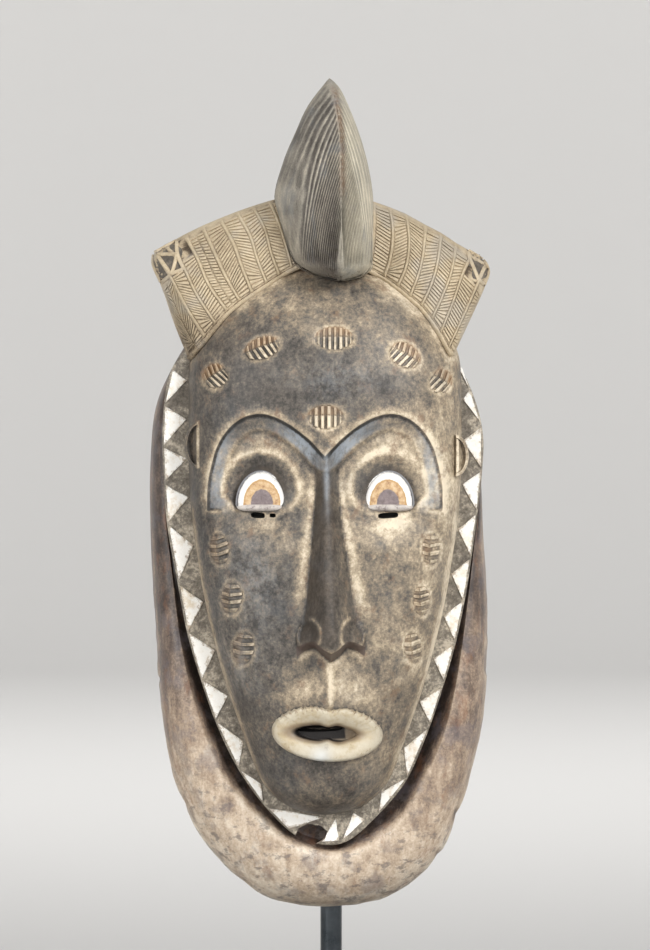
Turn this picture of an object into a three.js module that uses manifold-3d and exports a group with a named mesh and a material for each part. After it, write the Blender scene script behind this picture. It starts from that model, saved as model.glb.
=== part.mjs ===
// A carved wooden face mask in the Baule manner, held upright on a steel rod with a square foot.
// Lengths are millimetres. +Z is up, the mask looks along -Y, the origin is under the middle of the foot.

import * as THREE from 'three';
import { mergeVertices } from 'three/addons/utils/BufferGeometryUtils.js';
import Module from 'manifold-3d';

const wasm = await Module();
wasm.setup();

// Stand
const FOOT_WIDTH = 150;
const FOOT_DEPTH = 150;
const FOOT_THICKNESS = 14;
const FOOT_CHAMFER = 1.5;
const ROD_DIAMETER = 10.5;
const ROD_BEHIND_CENTRE = 30;
const ROD_SEAT_DEPTH = 9;
const ROD_BEND_RADIUS = 20;
const CROSSBAR_LENGTH = 44;
const CROSSBAR_DIAMETER = 8;
const CROSSBAR_DROP = 32;
const ROD_SIDES = 24;
const ROD_BEND_STEPS = 8;
const FIT_CLEARANCE = 0.3;
const JOIN_TOLERANCE = 0.13;

// Mask, measured from its lowest point (h), from its middle (x) and from its back rim (d)
const MASK_LIFT = 85;
const MASK_SHIFT = 3;
const WALL = 12;
const RIM_WIDTH = 15;
const HOLLOW_SHOULDER = 30;
const HOLLOW_DOME_BOTTOM = 64;
const HOLLOW_DOME_TOP = 290;
const EYE_RECESS = 7;

// Depths of the main levels
const GUTTER_DEPTH = 32;
const FLANGE_DEPTH = 44;
const FACE_EDGE_DEPTH = 42;
const FLANGE_UNDERCUT = 2;
const CREASE_DIP = 1.4;

// Outlines seen from the front, as x and h, anticlockwise from the bottom
const COLLAR_OUTLINE = [
  [0, 0], [23, 2], [40, 10], [56, 26], [66, 48], [73, 72], [78, 100], [79, 150], [77, 180], [76, 203],
  [74, 228], [68, 254], [58, 282], [36, 306], [0, 318], [-38, 306], [-60, 284], [-73, 264], [-82, 244],
  [-85, 215], [-85, 185], [-83, 142], [-80, 99], [-74, 64], [-61, 35], [-45, 16], [-27, 4],
];
const FLANGE_OUTLINE = [
  [2, 32], [11, 34], [26, 47], [39, 63], [50, 88], [57, 109], [62.5, 128], [67, 149], [70.5, 171],
  [73.5, 193], [75.5, 212], [76, 228], [73, 243], [66, 260], [56, 276], [36, 298], [0, 308], [-36, 298],
  [-60, 277], [-74, 260], [-78, 232], [-77.5, 212], [-76, 187], [-71, 159], [-66, 133], [-59.5, 111],
  [-52.5, 91], [-42, 69], [-27, 48.5], [-13, 36],
];
const CREASE_OUTLINE = [
  [2, 28.5], [14, 30.5], [25, 36.5], [37, 47], [48, 68], [53.5, 80], [58, 93], [62.5, 113], [65, 128],
  [68, 149], [71, 171], [73.7, 193], [75, 212], [75.5, 228], [72.5, 243], [65, 260], [55, 276], [35, 298],
  [0, 307], [-35, 298], [-59, 277], [-73.5, 260], [-77.5, 232], [-77, 212], [-76, 187], [-72.5, 159],
  [-69, 133], [-64, 110], [-56, 85], [-47.5, 65], [-36, 51], [-28, 43.5], [-17, 34.5],
];
const OUTLINE_CENTRE = 165;

// Half width of the face and the run of its middle line, as pairs of h and value
const FACE_HALF_WIDTH = [
  [46.5, 0], [47.5, 8], [50, 16], [54, 22.5], [60, 28.5], [67, 32.5], [87, 40], [109, 47.5], [129, 53],
  [151, 58], [179, 62.5], [200, 64.8], [225, 65.5], [250, 65.5], [266, 64.5], [280, 58.5], [292, 48.5],
  [302, 36], [309, 24], [314, 11], [316, 0],
];
const FACE_MIDDLE = [
  [46.5, 44], [49, 57], [55, 67], [66, 73], [80, 76.5], [100, 79.5], [130, 82.5], [160, 84.5], [190, 86],
  [215, 87.5], [240, 89], [262, 88], [280, 83.5], [295, 76], [306, 66], [316, 52],
];
const FACE_FULLNESS = [[46, 2], [100, 2.3], [180, 2.8], [250, 2.5], [316, 2.2]];

// Brow arch, drawn for the viewer's left from the cheek ledge over the eye to the root of the nose
const BROW_ARCH = [
  [-50, 192.4], [-56, 192.5], [-55.7, 205], [-54.2, 213], [-51.2, 223], [-46.5, 230.6], [-40, 236.2],
  [-32, 238.6], [-24, 237.2], [-16, 233], [-8, 226.8], [-3, 221.6], [0, 218.4],
];
const BROW_STEP = 1.7;
const BROW_BAND_WIDTH = 6.4;
const BROW_BAND_FALL = 2.7;
const BROW_FLOOR_FALL = 1.8;
const LEDGE_HEIGHT = 192.4;

// Eyes, the same on both sides of the middle
const EYE_OFFSET = 30.3;
const EYE_HALF_WIDTH = 11.2;
const EYE_TOP = 211;
const EYE_BOTTOM = 193.3;
const EYE_STAND = 3.4;
const SOCKET_RADIUS = 18;
const SOCKET_FALL = 3.2;
const SOCKET_HEIGHT = 203;
const SLIT_LENGTH = 10.5;
const SLIT_HEIGHT = 2.4;
const SLIT_DROP = 1.5;
const SPLIT_SLIT = { x: -32, length: 7.2, shortX: -24.8, shortLength: 3, shortRise: 0.3 };

// Nose
const NOSE_MIDDLE = [[121, 3], [140, 2.6], [180, 1.4], [218, 0.6]];
const NOSE_HALF_WIDTH = [
  [119, 15.5], [131, 15], [141, 12.6], [160, 9.8], [180, 7.6], [204, 5.2], [222, 5.5],
];
const NOSE_STAND = [
  [119, 14], [127, 18.5], [134, 19.5], [141, 18], [160, 13.2], [180, 9.8], [200, 7], [214, 5], [224, 0],
];
const NOSE_BASE = 121.4;
const NOSTRIL_RISE = 6.2;
const NOSTRIL_PITCH = 16;
const WING_OFFSET = 9.8;
const WING_HEIGHT = 131;
const WING_RADIUS = 6.6;
const WING_STAND = 6;

// Lips and mouth
const MOUTH_X = 1.1;
const MOUTH_HEIGHT = 85.2;
const LIP_HALF_WIDTH = 26.3;
const LIP_HALF_HEIGHT = 13.3;
const LIP_STEP = 2.4;
const LIP_STAND = 4.4;
const LIP_BOW = 1.9;
const OPENING_HALF_WIDTH = 13.9;
const OPENING_HALF_HEIGHT = 3.5;
const OPENING_DEPTH = 11;
const MOUTH_CUT = { x: -3, halfWidth: 10.2, halfHeight: 2.6 };
const CUT_FROM = 30;
const CUT_TO = 130;
const CUT_SQUARENESS = 0.6;

// Scar marks: x, h, half length along the ridges' row, half height, turn in degrees, ridges
const FOREHEAD_MARKS = [
  [-52.3, 257.8, 5.2, 6.2, 14, 3],
  [-30, 271, 8.6, 5.2, 20, 5],
  [4.3, 275.5, 9.1, 5.4, 0, 5],
  [38.2, 267.6, 7.9, 5.6, -30, 4],
  [55.4, 255.1, 4.4, 6.6, -16, 3],
  [0.2, 238.1, 8.6, 5.4, 0, 5],
];
const CHEEK_MARKS = [[51, 174.4], [45.3, 150], [40.8, 126.8]];
const CHEEK_MARK_HALF_LENGTH = 7.8;
const CHEEK_MARK_HALF_WIDTH = 5.2;
const CHEEK_MARK_RIDGES = 4;
const MARK_STAND = 0.9;

// Ears: small half rings on the sides of the face
const EAR_LEFT = { x: -59.8, h: 224, reach: 7.4, half: 11.2 };
const EAR_RIGHT = { x: 62.4, h: 219, reach: 6.2, half: 9.8 };
const EAR_RIDGE = 2;
const EAR_BACK = 46;
const EAR_FRONT = 62;
const EAR_HOLLOW = 6;

// Painted teeth on the flange: heights of their upper ends and their lengths
const TEETH_LEFT = [
  [261, 16], [243.5, 19], [223.5, 16], [205.5, 18], [186, 27], [157, 22.5], [133.5, 22], [110.5, 18.5],
  [90, 21.5], [67, 15], [49, 10],
];
const TEETH_RIGHT = [
  [265.5, 13], [251.5, 15], [233, 19], [212, 18.5], [191, 19.5], [169.5, 20], [149, 19], [127.5, 16.5],
  [107, 17], [87, 23], [63.5, 16.5],
];
const BOTTOM_TEETH = [
  [[19, 44.3], [8.5, 34.6], [13.5, 47.6]],
  [[6.8, 34.4], [-1.5, 33.6], [5.2, 45]],
];
const TOOTH_STAND = 0.7;
const TOOTH_POINT = 0.36;
const TOOTH_INSET = 0.9;
const TOOTH_ROOT = 1.2;

// Chip out of the flange beside its lowest tooth
const CHIP = { x: -6.5, h: 37.5, halfWidth: 7.5, halfHeight: 4.6 };

// Side buns: hairline, outer edge and thickness, with raised ribs between bands of plaiting
const BUN_LEFT = {
  hairline: [[0, 312], [-13, 309.5], [-27, 301], [-44.5, 289], [-55, 278], [-64.5, 266]],
  edge: [
    [-6, 346], [-19, 344], [-43, 336], [-62, 328], [-78, 319.5], [-83.5, 312.5], [-80.5, 303],
    [-72.5, 279], [-65.5, 265],
  ],
  ribs: 11,
};
const BUN_RIGHT = {
  hairline: [[0, 312], [22.5, 307], [31, 302.6], [43.5, 292.3], [53.5, 280], [61, 266]],
  edge: [
    [8, 346], [24, 341.8], [36, 337.4], [50, 330.2], [67.5, 320.4], [76.5, 314.5], [79.5, 307.5],
    [77.5, 300], [62.5, 266],
  ],
  ribs: 10,
};
const BUN_STAND = 2;
const BUN_TOP_FRONT = 56;
const BUN_BACK = 16;
const BUN_END_FRONT = 53;
const BUN_ROOT_TOP = 305;
const BUN_ROOT_FRONT = 50;
const BUN_SINK = 0.2;
const BUN_SWELL = 3;
const RIB_STAND = 1.3;

// Crest: a bud standing over the forehead, its front keel right of the middle.
// Pairs of height, in hundredths of the crest's own, and place
const CREST_BASE = 302;
const CREST_HEIGHT = 98;
const CREST_LEFT = [
  [0, 5], [1.5, -1], [4, -6.5], [7.7, -11.5], [23.5, -13.4], [32.7, -20], [41.8, -25.5], [60.2, -20.6],
  [71.4, -16], [85.7, -9.6], [96.9, -1.4], [100, 1.2],
];
const CREST_RIGHT = [
  [0, 9.5], [1.5, 16], [4, 20.5], [6.6, 22.6], [23.5, 23.4], [39.8, 24.4], [55.1, 22], [68.4, 18.6],
  [82.2, 13.7], [94.5, 8.2], [98.4, 4.8], [100, 2.6],
];
const CREST_KEEL = [[0, 7.4], [30.6, 7.8], [59.2, 7.6], [71.4, 7.2], [86.7, 5.2], [100, 2]];
const CREST_FRONT = [
  [0, 84], [3, 92], [10, 97], [28.6, 99], [49, 94], [69.4, 84], [87.8, 70], [96, 61], [100, 54],
];
const CREST_SIDE = [[0, 70], [18.4, 64], [41.8, 58], [69.4, 53], [100, 50]];
const CREST_BACK = [[0, 24], [28.6, 20], [49, 22], [69.4, 29], [87.8, 38], [100, 46]];
const CREST_LEVELS = [0, 1.5, 4, 8, 14, 22, 32, 42, 52, 62, 71, 80, 88, 94, 98, 100];
const FLUTE_ENDS = { from: 0, full: 3, falling: 70, to: 100 };
const CREST_FLUTES = 7;
const FLUTE_DEPTH = 0.8;

// Fineness of the facets
const RING_STEPS = 54;
const HOLLOW_STEPS = 32;
const FACE_COLUMNS = [0, 0.04, 0.1, 0.16, 0.22, 0.29, 0.38, 0.47, 0.56, 0.65, 0.75, 0.84, 0.92, 0.97, 1];
const ROW_STEP_PLAIN = 8;
const ROW_STEP_FINE = 3.5;
const FINE_ROWS = [[69, 101], [119, 142], [188, 242]];

const radians = (degrees) => degrees * Math.PI / 180;
const clamp = (value, low, high) => Math.min(high, Math.max(low, value));

function smooth(from, to, value) {
  const t = clamp((value - from) / (to - from), 0, 1);
  return t * t * (3 - 2 * t);
}

// Smooth value at a place between listed pairs, with slopes taken from the neighbours
function profile(pairs, place) {
  const last = pairs.length - 1;
  if (place <= pairs[0][0]) return pairs[0][1];
  if (place >= pairs[last][0]) return pairs[last][1];
  let i = 0;
  while (pairs[i + 1][0] < place) i += 1;
  const slope = (k) => {
    const a = pairs[Math.max(0, k - 1)];
    const b = pairs[Math.min(last, k + 1)];
    return (b[1] - a[1]) / (b[0] - a[0]);
  };
  const width = pairs[i + 1][0] - pairs[i][0];
  const t = (place - pairs[i][0]) / width;
  const low = pairs[i][1];
  const high = pairs[i + 1][1];
  const rise = high - low;
  const limit = (m) => (rise === 0 ? 0 : clamp(m * width / rise, 0, 3) * rise);
  const start = limit(slope(i));
  const end = limit(slope(i + 1));
  return low + start * t + (3 * rise - 2 * start - end) * t * t + (start + end - 2 * rise) * t * t * t;
}

// Radius of an outline about its centre, for an angle from the +x direction
function outlineRadius(outline) {
  const points = outline.map(([x, h]) => new THREE.Vector3(x, h, 0));
  const curve = new THREE.CatmullRomCurve3(points, true, 'centripetal');
  const rays = curve.getPoints(outline.length * 8).map((p) => {
    const up = p.y - OUTLINE_CENTRE;
    return [Math.atan2(up, p.x), Math.hypot(p.x, up)];
  });
  rays.sort((a, b) => a[0] - b[0]);
  return (angle) => {
    let i = rays.findIndex((ray) => ray[0] > angle);
    if (i < 0) i = 0;
    const after = rays[i];
    const before = rays[(i + rays.length - 1) % rays.length];
    const turn = 2 * Math.PI;
    const span = (after[0] - before[0] + turn) % turn || turn;
    const share = ((angle - before[0] + turn) % turn) / span;
    return before[1] + (after[1] - before[1]) * share;
  };
}
const collarRadius = outlineRadius(COLLAR_OUTLINE);
const flangeRadius = outlineRadius(FLANGE_OUTLINE);
const creaseRadius = outlineRadius(CREASE_OUTLINE);
const faceRadius = outlineRadius([
  ...FACE_HALF_WIDTH.map(([h, half]) => [half, h]),
  ...FACE_HALF_WIDTH.slice(1, -1).reverse().map(([h, half]) => [-half, h]),
]);

// Solid through a row of closed loops of x, h, d points, each end closed by a fan
function solidFromLoops(loops) {
  const count = loops[0].length;
  const points = loops.flat();
  const faces = [];
  for (let k = 0; k + 1 < loops.length; k += 1) {
    for (let j = 0; j < count; j += 1) {
      const a = k * count + j;
      const b = k * count + (j + 1) % count;
      faces.push([a, b, b + count], [a, b + count, a + count]);
    }
  }
  const addCap = (loop, first, flip) => {
    const middle = [0, 1, 2].map((axis) => loop.reduce((sum, p) => sum + p[axis], 0) / count);
    const centre = points.push(middle) - 1;
    for (let j = 0; j < count; j += 1) {
      const a = first + j;
      const b = first + (j + 1) % count;
      faces.push(flip ? [a, b, centre] : [b, a, centre]);
    }
  };
  addCap(loops[0], 0, false);
  addCap(loops[loops.length - 1], (loops.length - 1) * count, true);
  const placed = points.map(([x, h, d]) => [x, -d, h]);
  let volume = 0;
  for (const corners of faces) {
    const [p, q, r] = corners.map((corner) => new THREE.Vector3(...placed[corner]));
    volume += p.dot(q.cross(r));
  }
  const outward = volume > 0 ? faces : faces.map(([a, b, c]) => [a, c, b]);
  const mesh = new wasm.Mesh({
    numProp: 3,
    vertProperties: new Float32Array(placed.flat()),
    triVerts: new Uint32Array(outward.flat()),
  });
  mesh.merge();
  return new wasm.Manifold(mesh);
}

// Solid from a three.js geometry
function solidFromGeometry(geometry) {
  const plain = geometry.clone();
  plain.deleteAttribute('normal');
  plain.deleteAttribute('uv');
  const merged = mergeVertices(plain, 1e-4);
  return new wasm.Manifold(new wasm.Mesh({
    numProp: 3,
    vertProperties: new Float32Array(merged.attributes.position.array),
    triVerts: new Uint32Array(merged.index.array),
  }));
}

function geometryFromSolid(solid) {
  const mesh = solid.getMesh();
  const geometry = new THREE.BufferGeometry();
  geometry.setAttribute('position', new THREE.BufferAttribute(new Float32Array(mesh.vertProperties), 3));
  geometry.setIndex(new THREE.BufferAttribute(new Uint32Array(mesh.triVerts), 1));
  geometry.computeVertexNormals();
  return geometry;
}

// Ring of points about the outline centre
function ring(radiusAt, depthAt, steps = RING_STEPS) {
  return Array.from({ length: steps }, (_, k) => {
    const angle = -Math.PI + 2 * Math.PI * (k + 0.5) / steps;
    const radius = radiusAt(angle);
    const x = radius * Math.cos(angle);
    const h = OUTLINE_CENTRE + radius * Math.sin(angle);
    return [x, h, depthAt(h)];
  });
}

// Level of the collar's crease: low beside the cheeks, just under the flange at the chin
const creaseDepth = (h) => FLANGE_DEPTH - 3 - 11 * smooth(60, 190, h);
const rimDepth = (h) => 10 - 4 * smooth(60, 200, h);

// Body with the rolled collar round the face
function collarBody() {
  const roll = [0, 0.22, 0.45, 0.66, 0.83, 0.94, 1];
  const rollDepth = (share, h) => {
    const fall = Math.pow(1 - Math.pow(share, 2.3), 1 / 2.3);
    return rimDepth(h) + (creaseDepth(h) + 2 - rimDepth(h)) * fall;
  };
  const rollRadius = (share) => (angle) => {
    const inner = creaseRadius(angle);
    return inner + (collarRadius(angle) - inner) * share;
  };
  return solidFromLoops([
    ring((angle) => 0.05 * collarRadius(angle), () => 0),
    ring((angle) => collarRadius(angle) - 3, () => 0),
    ring((angle) => collarRadius(angle) - 0.6, () => 2.4),
    ...roll.slice(1).reverse().map((share) => ring(rollRadius(share), (h) => rollDepth(share, h))),
    ring(creaseRadius, (h) => rollDepth(0, h) - CREASE_DIP),
    ring((angle) => Math.min(flangeRadius(angle), creaseRadius(angle)) - 1.5, () => GUTTER_DEPTH),
    ring((angle) => 0.05 * collarRadius(angle), () => GUTTER_DEPTH),
  ]);
}

// Flat border round the face, undercut towards the gutter
function flangePlate() {
  return solidFromLoops([
    ring((angle) => 0.05 * flangeRadius(angle), () => 12),
    ring((angle) => flangeRadius(angle) - 8, () => 12),
    ring((angle) => flangeRadius(angle) - FLANGE_UNDERCUT, () => FLANGE_DEPTH - 8),
    ring((angle) => flangeRadius(angle), () => FLANGE_DEPTH - 0.9),
    ring((angle) => flangeRadius(angle) - 0.8, () => FLANGE_DEPTH),
    ring((angle) => 0.05 * flangeRadius(angle), () => FLANGE_DEPTH),
  ]);
}

// One painted tooth: a thin wedge whose long side lies on the flange's edge
function tooth(upper, lower, point) {
  const levels = [FLANGE_DEPTH - TOOTH_ROOT, FLANGE_DEPTH + TOOTH_STAND];
  return solidFromLoops(levels.map((d) => [[...upper, d], [...lower, d], [...point, d]]));
}

function edgePoint(side, h) {
  const angleAt = (height) => {
    let low = side > 0 ? -Math.PI / 2 : Math.PI / 2;
    let high = side > 0 ? Math.PI / 2 : 3 * Math.PI / 2;
    for (let step = 0; step < 30; step += 1) {
      const middle = (low + high) / 2;
      const wrapped = middle > Math.PI ? middle - 2 * Math.PI : middle;
      const reached = OUTLINE_CENTRE + flangeRadius(wrapped) * Math.sin(wrapped);
      if ((reached < height) === (side > 0)) low = middle;
      else high = middle;
    }
    return (low + high) / 2;
  };
  const angle = angleAt(h);
  const wrapped = angle > Math.PI ? angle - 2 * Math.PI : angle;
  const radius = flangeRadius(wrapped) - TOOTH_INSET;
  return [radius * Math.cos(wrapped), OUTLINE_CENTRE + radius * Math.sin(wrapped)];
}

function teeth() {
  const wedges = [];
  for (const [side, row] of [[-1, TEETH_LEFT], [1, TEETH_RIGHT]]) {
    for (const [top, length] of row) {
      const height = top - length * TOOTH_POINT;
      const point = [side * (profile(FACE_HALF_WIDTH, height) + 0.8), height];
      wedges.push(tooth(edgePoint(side, top), edgePoint(side, top - length), point));
    }
  }
  return [...wedges, ...BOTTOM_TEETH.map((corners) => tooth(...corners))];
}

// Distance to the brow arch, and whether the place lies under it
function browDistance(x, h) {
  const side = -Math.abs(x);
  let nearest = Infinity;
  let archHeight = -Infinity;
  for (let i = 0; i + 1 < BROW_ARCH.length; i += 1) {
    const [ax, ah] = BROW_ARCH[i];
    const [bx, bh] = BROW_ARCH[i + 1];
    const run = (bx - ax) ** 2 + (bh - ah) ** 2;
    const t = clamp(((side - ax) * (bx - ax) + (h - ah) * (bh - ah)) / run, 0, 1);
    nearest = Math.min(nearest, Math.hypot(side - ax - t * (bx - ax), h - ah - t * (bh - ah)));
    if (i > 0 && side >= Math.min(ax, bx) && side <= Math.max(ax, bx) && bx !== ax) {
      archHeight = Math.max(archHeight, ah + (bh - ah) * (side - ax) / (bx - ax));
    }
  }
  return { nearest, under: h < archHeight };
}

function browFall(x, h) {
  const { nearest, under } = browDistance(x, h);
  if (!under) return 0;
  const across = Math.abs(x);
  const step = BROW_STEP * smooth(0, 1, nearest);
  const band = BROW_BAND_FALL * smooth(0.5, BROW_BAND_WIDTH, nearest);
  const floor = BROW_FLOOR_FALL * smooth(BROW_BAND_WIDTH, BROW_BAND_WIDTH + 2.5, nearest);
  const low = h < LEDGE_HEIGHT ? smooth(50, 40, across) : 1;
  return (step + band + floor) * low * smooth(174, 196, h);
}

function socketFall(x, h) {
  const dx = Math.abs(x) - EYE_OFFSET;
  const rise = h - SOCKET_HEIGHT;
  const tall = rise > 0 ? SOCKET_RADIUS : 13;
  return SOCKET_FALL * (1 - smooth(0.5, 1, Math.hypot(dx / SOCKET_RADIUS, rise / tall)));
}

// Nose: a narrow keel with steep sides, round wings and a scalloped base
function noseStand(x, h) {
  const dx = Math.abs(x - profile(NOSE_MIDDLE, h));
  const share = dx / profile(NOSE_HALF_WIDTH, h);
  const keel = profile(NOSE_STAND, h) * (1 - smooth(0.16, 1.05, share));
  const wing = Math.hypot((dx - WING_OFFSET) / WING_RADIUS, (h - WING_HEIGHT) / (1.35 * WING_RADIUS));
  const bulge = WING_STAND * Math.sqrt(Math.max(0, 1 - wing * wing));
  const scallop = NOSE_BASE + NOSTRIL_RISE * Math.sin(Math.PI * dx / NOSTRIL_PITCH) ** 2;
  return Math.max(keel, keel * 0.45 + bulge) * smooth(scallop - 0.9, scallop + 0.9, h);
}

function philtrumStand(x, h) {
  return 1.3 * Math.exp(-(((x - 2.4) / 2) ** 2)) * smooth(97, 103, h) * smooth(124, 118, h);
}

function lipStand(x, h) {
  const dx = x - MOUTH_X;
  const dh = h - MOUTH_HEIGHT;
  const bow = dh > 0 ? LIP_BOW * Math.exp(-((dx / 5) ** 2)) : 0;
  const outer = Math.hypot(dx / LIP_HALF_WIDTH, dh / (LIP_HALF_HEIGHT - bow));
  const inner = Math.hypot(dx / OPENING_HALF_WIDTH, dh / (OPENING_HALF_HEIGHT - Math.exp(-((dx / 3) ** 2))));
  const mound = LIP_STEP * smooth(1.02, 0.94, outer) + LIP_STAND * smooth(0.98, 0.5, outer);
  return mound - OPENING_DEPTH * smooth(1.35, 0.8, inner);
}

function faceDome(x, h) {
  const half = Math.max(0.01, profile(FACE_HALF_WIDTH, h));
  const fullness = profile(FACE_FULLNESS, h);
  const share = clamp(Math.abs(x) / half, 0, 1);
  const swell = Math.pow(1 - Math.pow(share, fullness), 1 / fullness);
  return FACE_EDGE_DEPTH + (profile(FACE_MIDDLE, h) - FACE_EDGE_DEPTH) * swell;
}

function faceDepth(x, h) {
  const fallen = browFall(x, h) + socketFall(x, h);
  return faceDome(x, h) - fallen + noseStand(x, h) + philtrumStand(x, h) + lipStand(x, h);
}

function faceRows() {
  const bottom = FACE_HALF_WIDTH[0][0];
  const top = FACE_HALF_WIDTH[FACE_HALF_WIDTH.length - 1][0];
  const rows = [bottom + 0.3, bottom + 1.2, bottom + 3, bottom + 6, bottom + 10];
  let h = bottom + 15;
  while (h < top - 8) {
    rows.push(h);
    const place = h;
    const fine = FINE_ROWS.some(([low, high]) => place >= low - 0.1 && place < high);
    const next = FINE_ROWS.find(([low]) => place < low - 0.1 && place + ROW_STEP_PLAIN > low);
    if (fine) h += ROW_STEP_FINE;
    else h = next ? next[0] : h + ROW_STEP_PLAIN;
  }
  rows.push(top - 6, top - 2.5, top - 0.6);
  return rows;
}

function faceShell() {
  const columns = [...FACE_COLUMNS.slice(1).reverse().map((share) => -share), ...FACE_COLUMNS];
  return solidFromLoops(faceRows().map((h) => {
    const half = profile(FACE_HALF_WIDTH, h);
    const front = columns.map((share) => [share * half, h, faceDepth(share * half, h)]);
    return [...front, [half, h, 14], [-half, h, 14]];
  }));
}

// Half-disc eye plate with a slight swell, and the lid's straight lower edge
function eyePlate(side) {
  const base = faceDepth(side * EYE_OFFSET, SOCKET_HEIGHT);
  const outline = (share, d) => {
    const steps = 14;
    const points = [];
    for (let k = 0; k <= steps; k += 1) {
      const angle = Math.PI * k / steps;
      const x = side * EYE_OFFSET + share * EYE_HALF_WIDTH * Math.cos(angle);
      points.push([x, EYE_BOTTOM + 2.6 + share * (EYE_TOP - EYE_BOTTOM - 2.6) * Math.sin(angle), d]);
    }
    points.push([side * EYE_OFFSET - share * EYE_HALF_WIDTH * 0.9, EYE_BOTTOM + 2.6 - share * 2.6, d]);
    points.push([side * EYE_OFFSET + share * EYE_HALF_WIDTH * 0.9, EYE_BOTTOM + 2.6 - share * 2.6, d]);
    return points;
  };
  return solidFromLoops([
    outline(1, base - 3),
    outline(1, base + EYE_STAND * 0.55),
    outline(0.86, base + EYE_STAND * 0.85),
    outline(0.5, base + EYE_STAND),
  ]);
}

// Oval scar mark: a row of sharp ridges that dies away at both ends
function scarMark([x, h, halfLength, halfHeight, turn, ridges]) {
  const stations = 2 * ridges + 1;
  const [cos, sin] = [Math.cos(radians(turn)), Math.sin(radians(turn))];
  const at = (along, up, stand) => {
    const px = x + along * cos - up * sin;
    const ph = h + along * sin + up * cos;
    return [px, ph, faceDepth(px, ph) + stand];
  };
  return solidFromLoops(Array.from({ length: stations }, (_, k) => {
    const share = -1 + 2 * k / (stations - 1);
    const along = share * halfLength;
    const up = halfHeight * Math.sqrt(Math.max(0.1, 1 - share * share));
    const stand = k % 2 === 1 ? MARK_STAND : -0.5;
    return [at(along, up, -0.5), at(along, 0, stand), at(along, -up, -0.5), at(along, 0, -3)];
  }));
}

function scarMarks() {
  const marks = FOREHEAD_MARKS.map(scarMark);
  for (const side of [-1, 1]) {
    for (const [x, h] of CHEEK_MARKS) {
      const size = [CHEEK_MARK_HALF_LENGTH, CHEEK_MARK_HALF_WIDTH];
      marks.push(scarMark([side * x, h, ...size, 90, CHEEK_MARK_RIDGES]));
    }
  }
  return marks;
}

function halfRing(ear, share, d) {
  const side = Math.sign(ear.x);
  const steps = 10;
  return Array.from({ length: steps + 1 }, (_, k) => {
    const angle = -Math.PI / 2 + Math.PI * k / steps;
    const reach = ear.reach - (1 - share) * EAR_RIDGE;
    const half = ear.half - (1 - share) * EAR_RIDGE;
    return [ear.x + side * reach * Math.cos(angle), ear.h + half * Math.sin(angle), d];
  });
}

function earRing(ear) {
  const back = halfRing(ear, 1, EAR_BACK).map(([x, h, d]) => [x - Math.sign(ear.x) * 3, h, d]);
  const outer = solidFromLoops([back, halfRing(ear, 1, EAR_FRONT - 1), halfRing(ear, 0.7, EAR_FRONT)]);
  const hollow = solidFromLoops([halfRing(ear, 0, EAR_FRONT - EAR_HOLLOW), halfRing(ear, 0, EAR_FRONT + 1)]);
  return outer.subtract(hollow);
}

// Point along a listed path of x and h, for a share of its length
function pathPoint(path, share) {
  const points = path.map(([x, h]) => new THREE.Vector3(x, h, 0));
  const curve = new THREE.CatmullRomCurve3(points, false, 'centripetal');
  const p = curve.getPointAt(clamp(share, 0, 1));
  return [p.x, p.y];
}

// Bun: ribs fan from the hairline to the outer edge, over it and down the plain back
function bun(shape) {
  const columns = 2 * shape.ribs;
  const rise = [0, 0.12, 0.3, 0.5, 0.68, 0.82, 0.92, 0.98, 1];
  return solidFromLoops(Array.from({ length: columns + 1 }, (_, k) => {
    const along = k / columns;
    const [ax, ah] = pathPoint(shape.hairline, along);
    const [bx, bh] = pathPoint(shape.edge, along);
    const rib = k % 2 === 0 ? RIB_STAND : 0;
    const end = smooth(0.86, 1, along);
    const root = Math.max(faceDome(0.97 * ax, Math.min(ah, BUN_ROOT_TOP)), BUN_ROOT_FRONT) + BUN_STAND;
    const topFront = BUN_TOP_FRONT + (BUN_END_FRONT - BUN_TOP_FRONT) * along;
    const middle = (topFront + BUN_BACK) / 2;
    const place = (v) => [ax + (bx - ax) * v, ah + (bh - ah) * v];
    const front = rise.map((v) => {
      const cap = Math.pow(1 - Math.pow(v, 5), 1 / 2.4);
      const swell = BUN_SWELL * 4 * v * (1 - v) * (1 - end);
      const level = root + (topFront - root) * smooth(-0.2, 1.2, v) + swell;
      const rest = (level + rib - middle) * cap;
      return [...place(v), middle + rest];
    });
    const back = rise.slice(0, -1).reverse().filter((_, i) => i % 2 === 1).map((v) => {
      const cap = Math.pow(1 - Math.pow(v, 5), 1 / 2.4);
      return [...place(v), middle - (middle - BUN_BACK) * cap];
    });
    const sunk = [ax - (bx - ax) * BUN_SINK, ah - (bh - ah) * BUN_SINK];
    return [[...sunk, 40], ...front, ...back, [...sunk, 20]];
  }));
}

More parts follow.
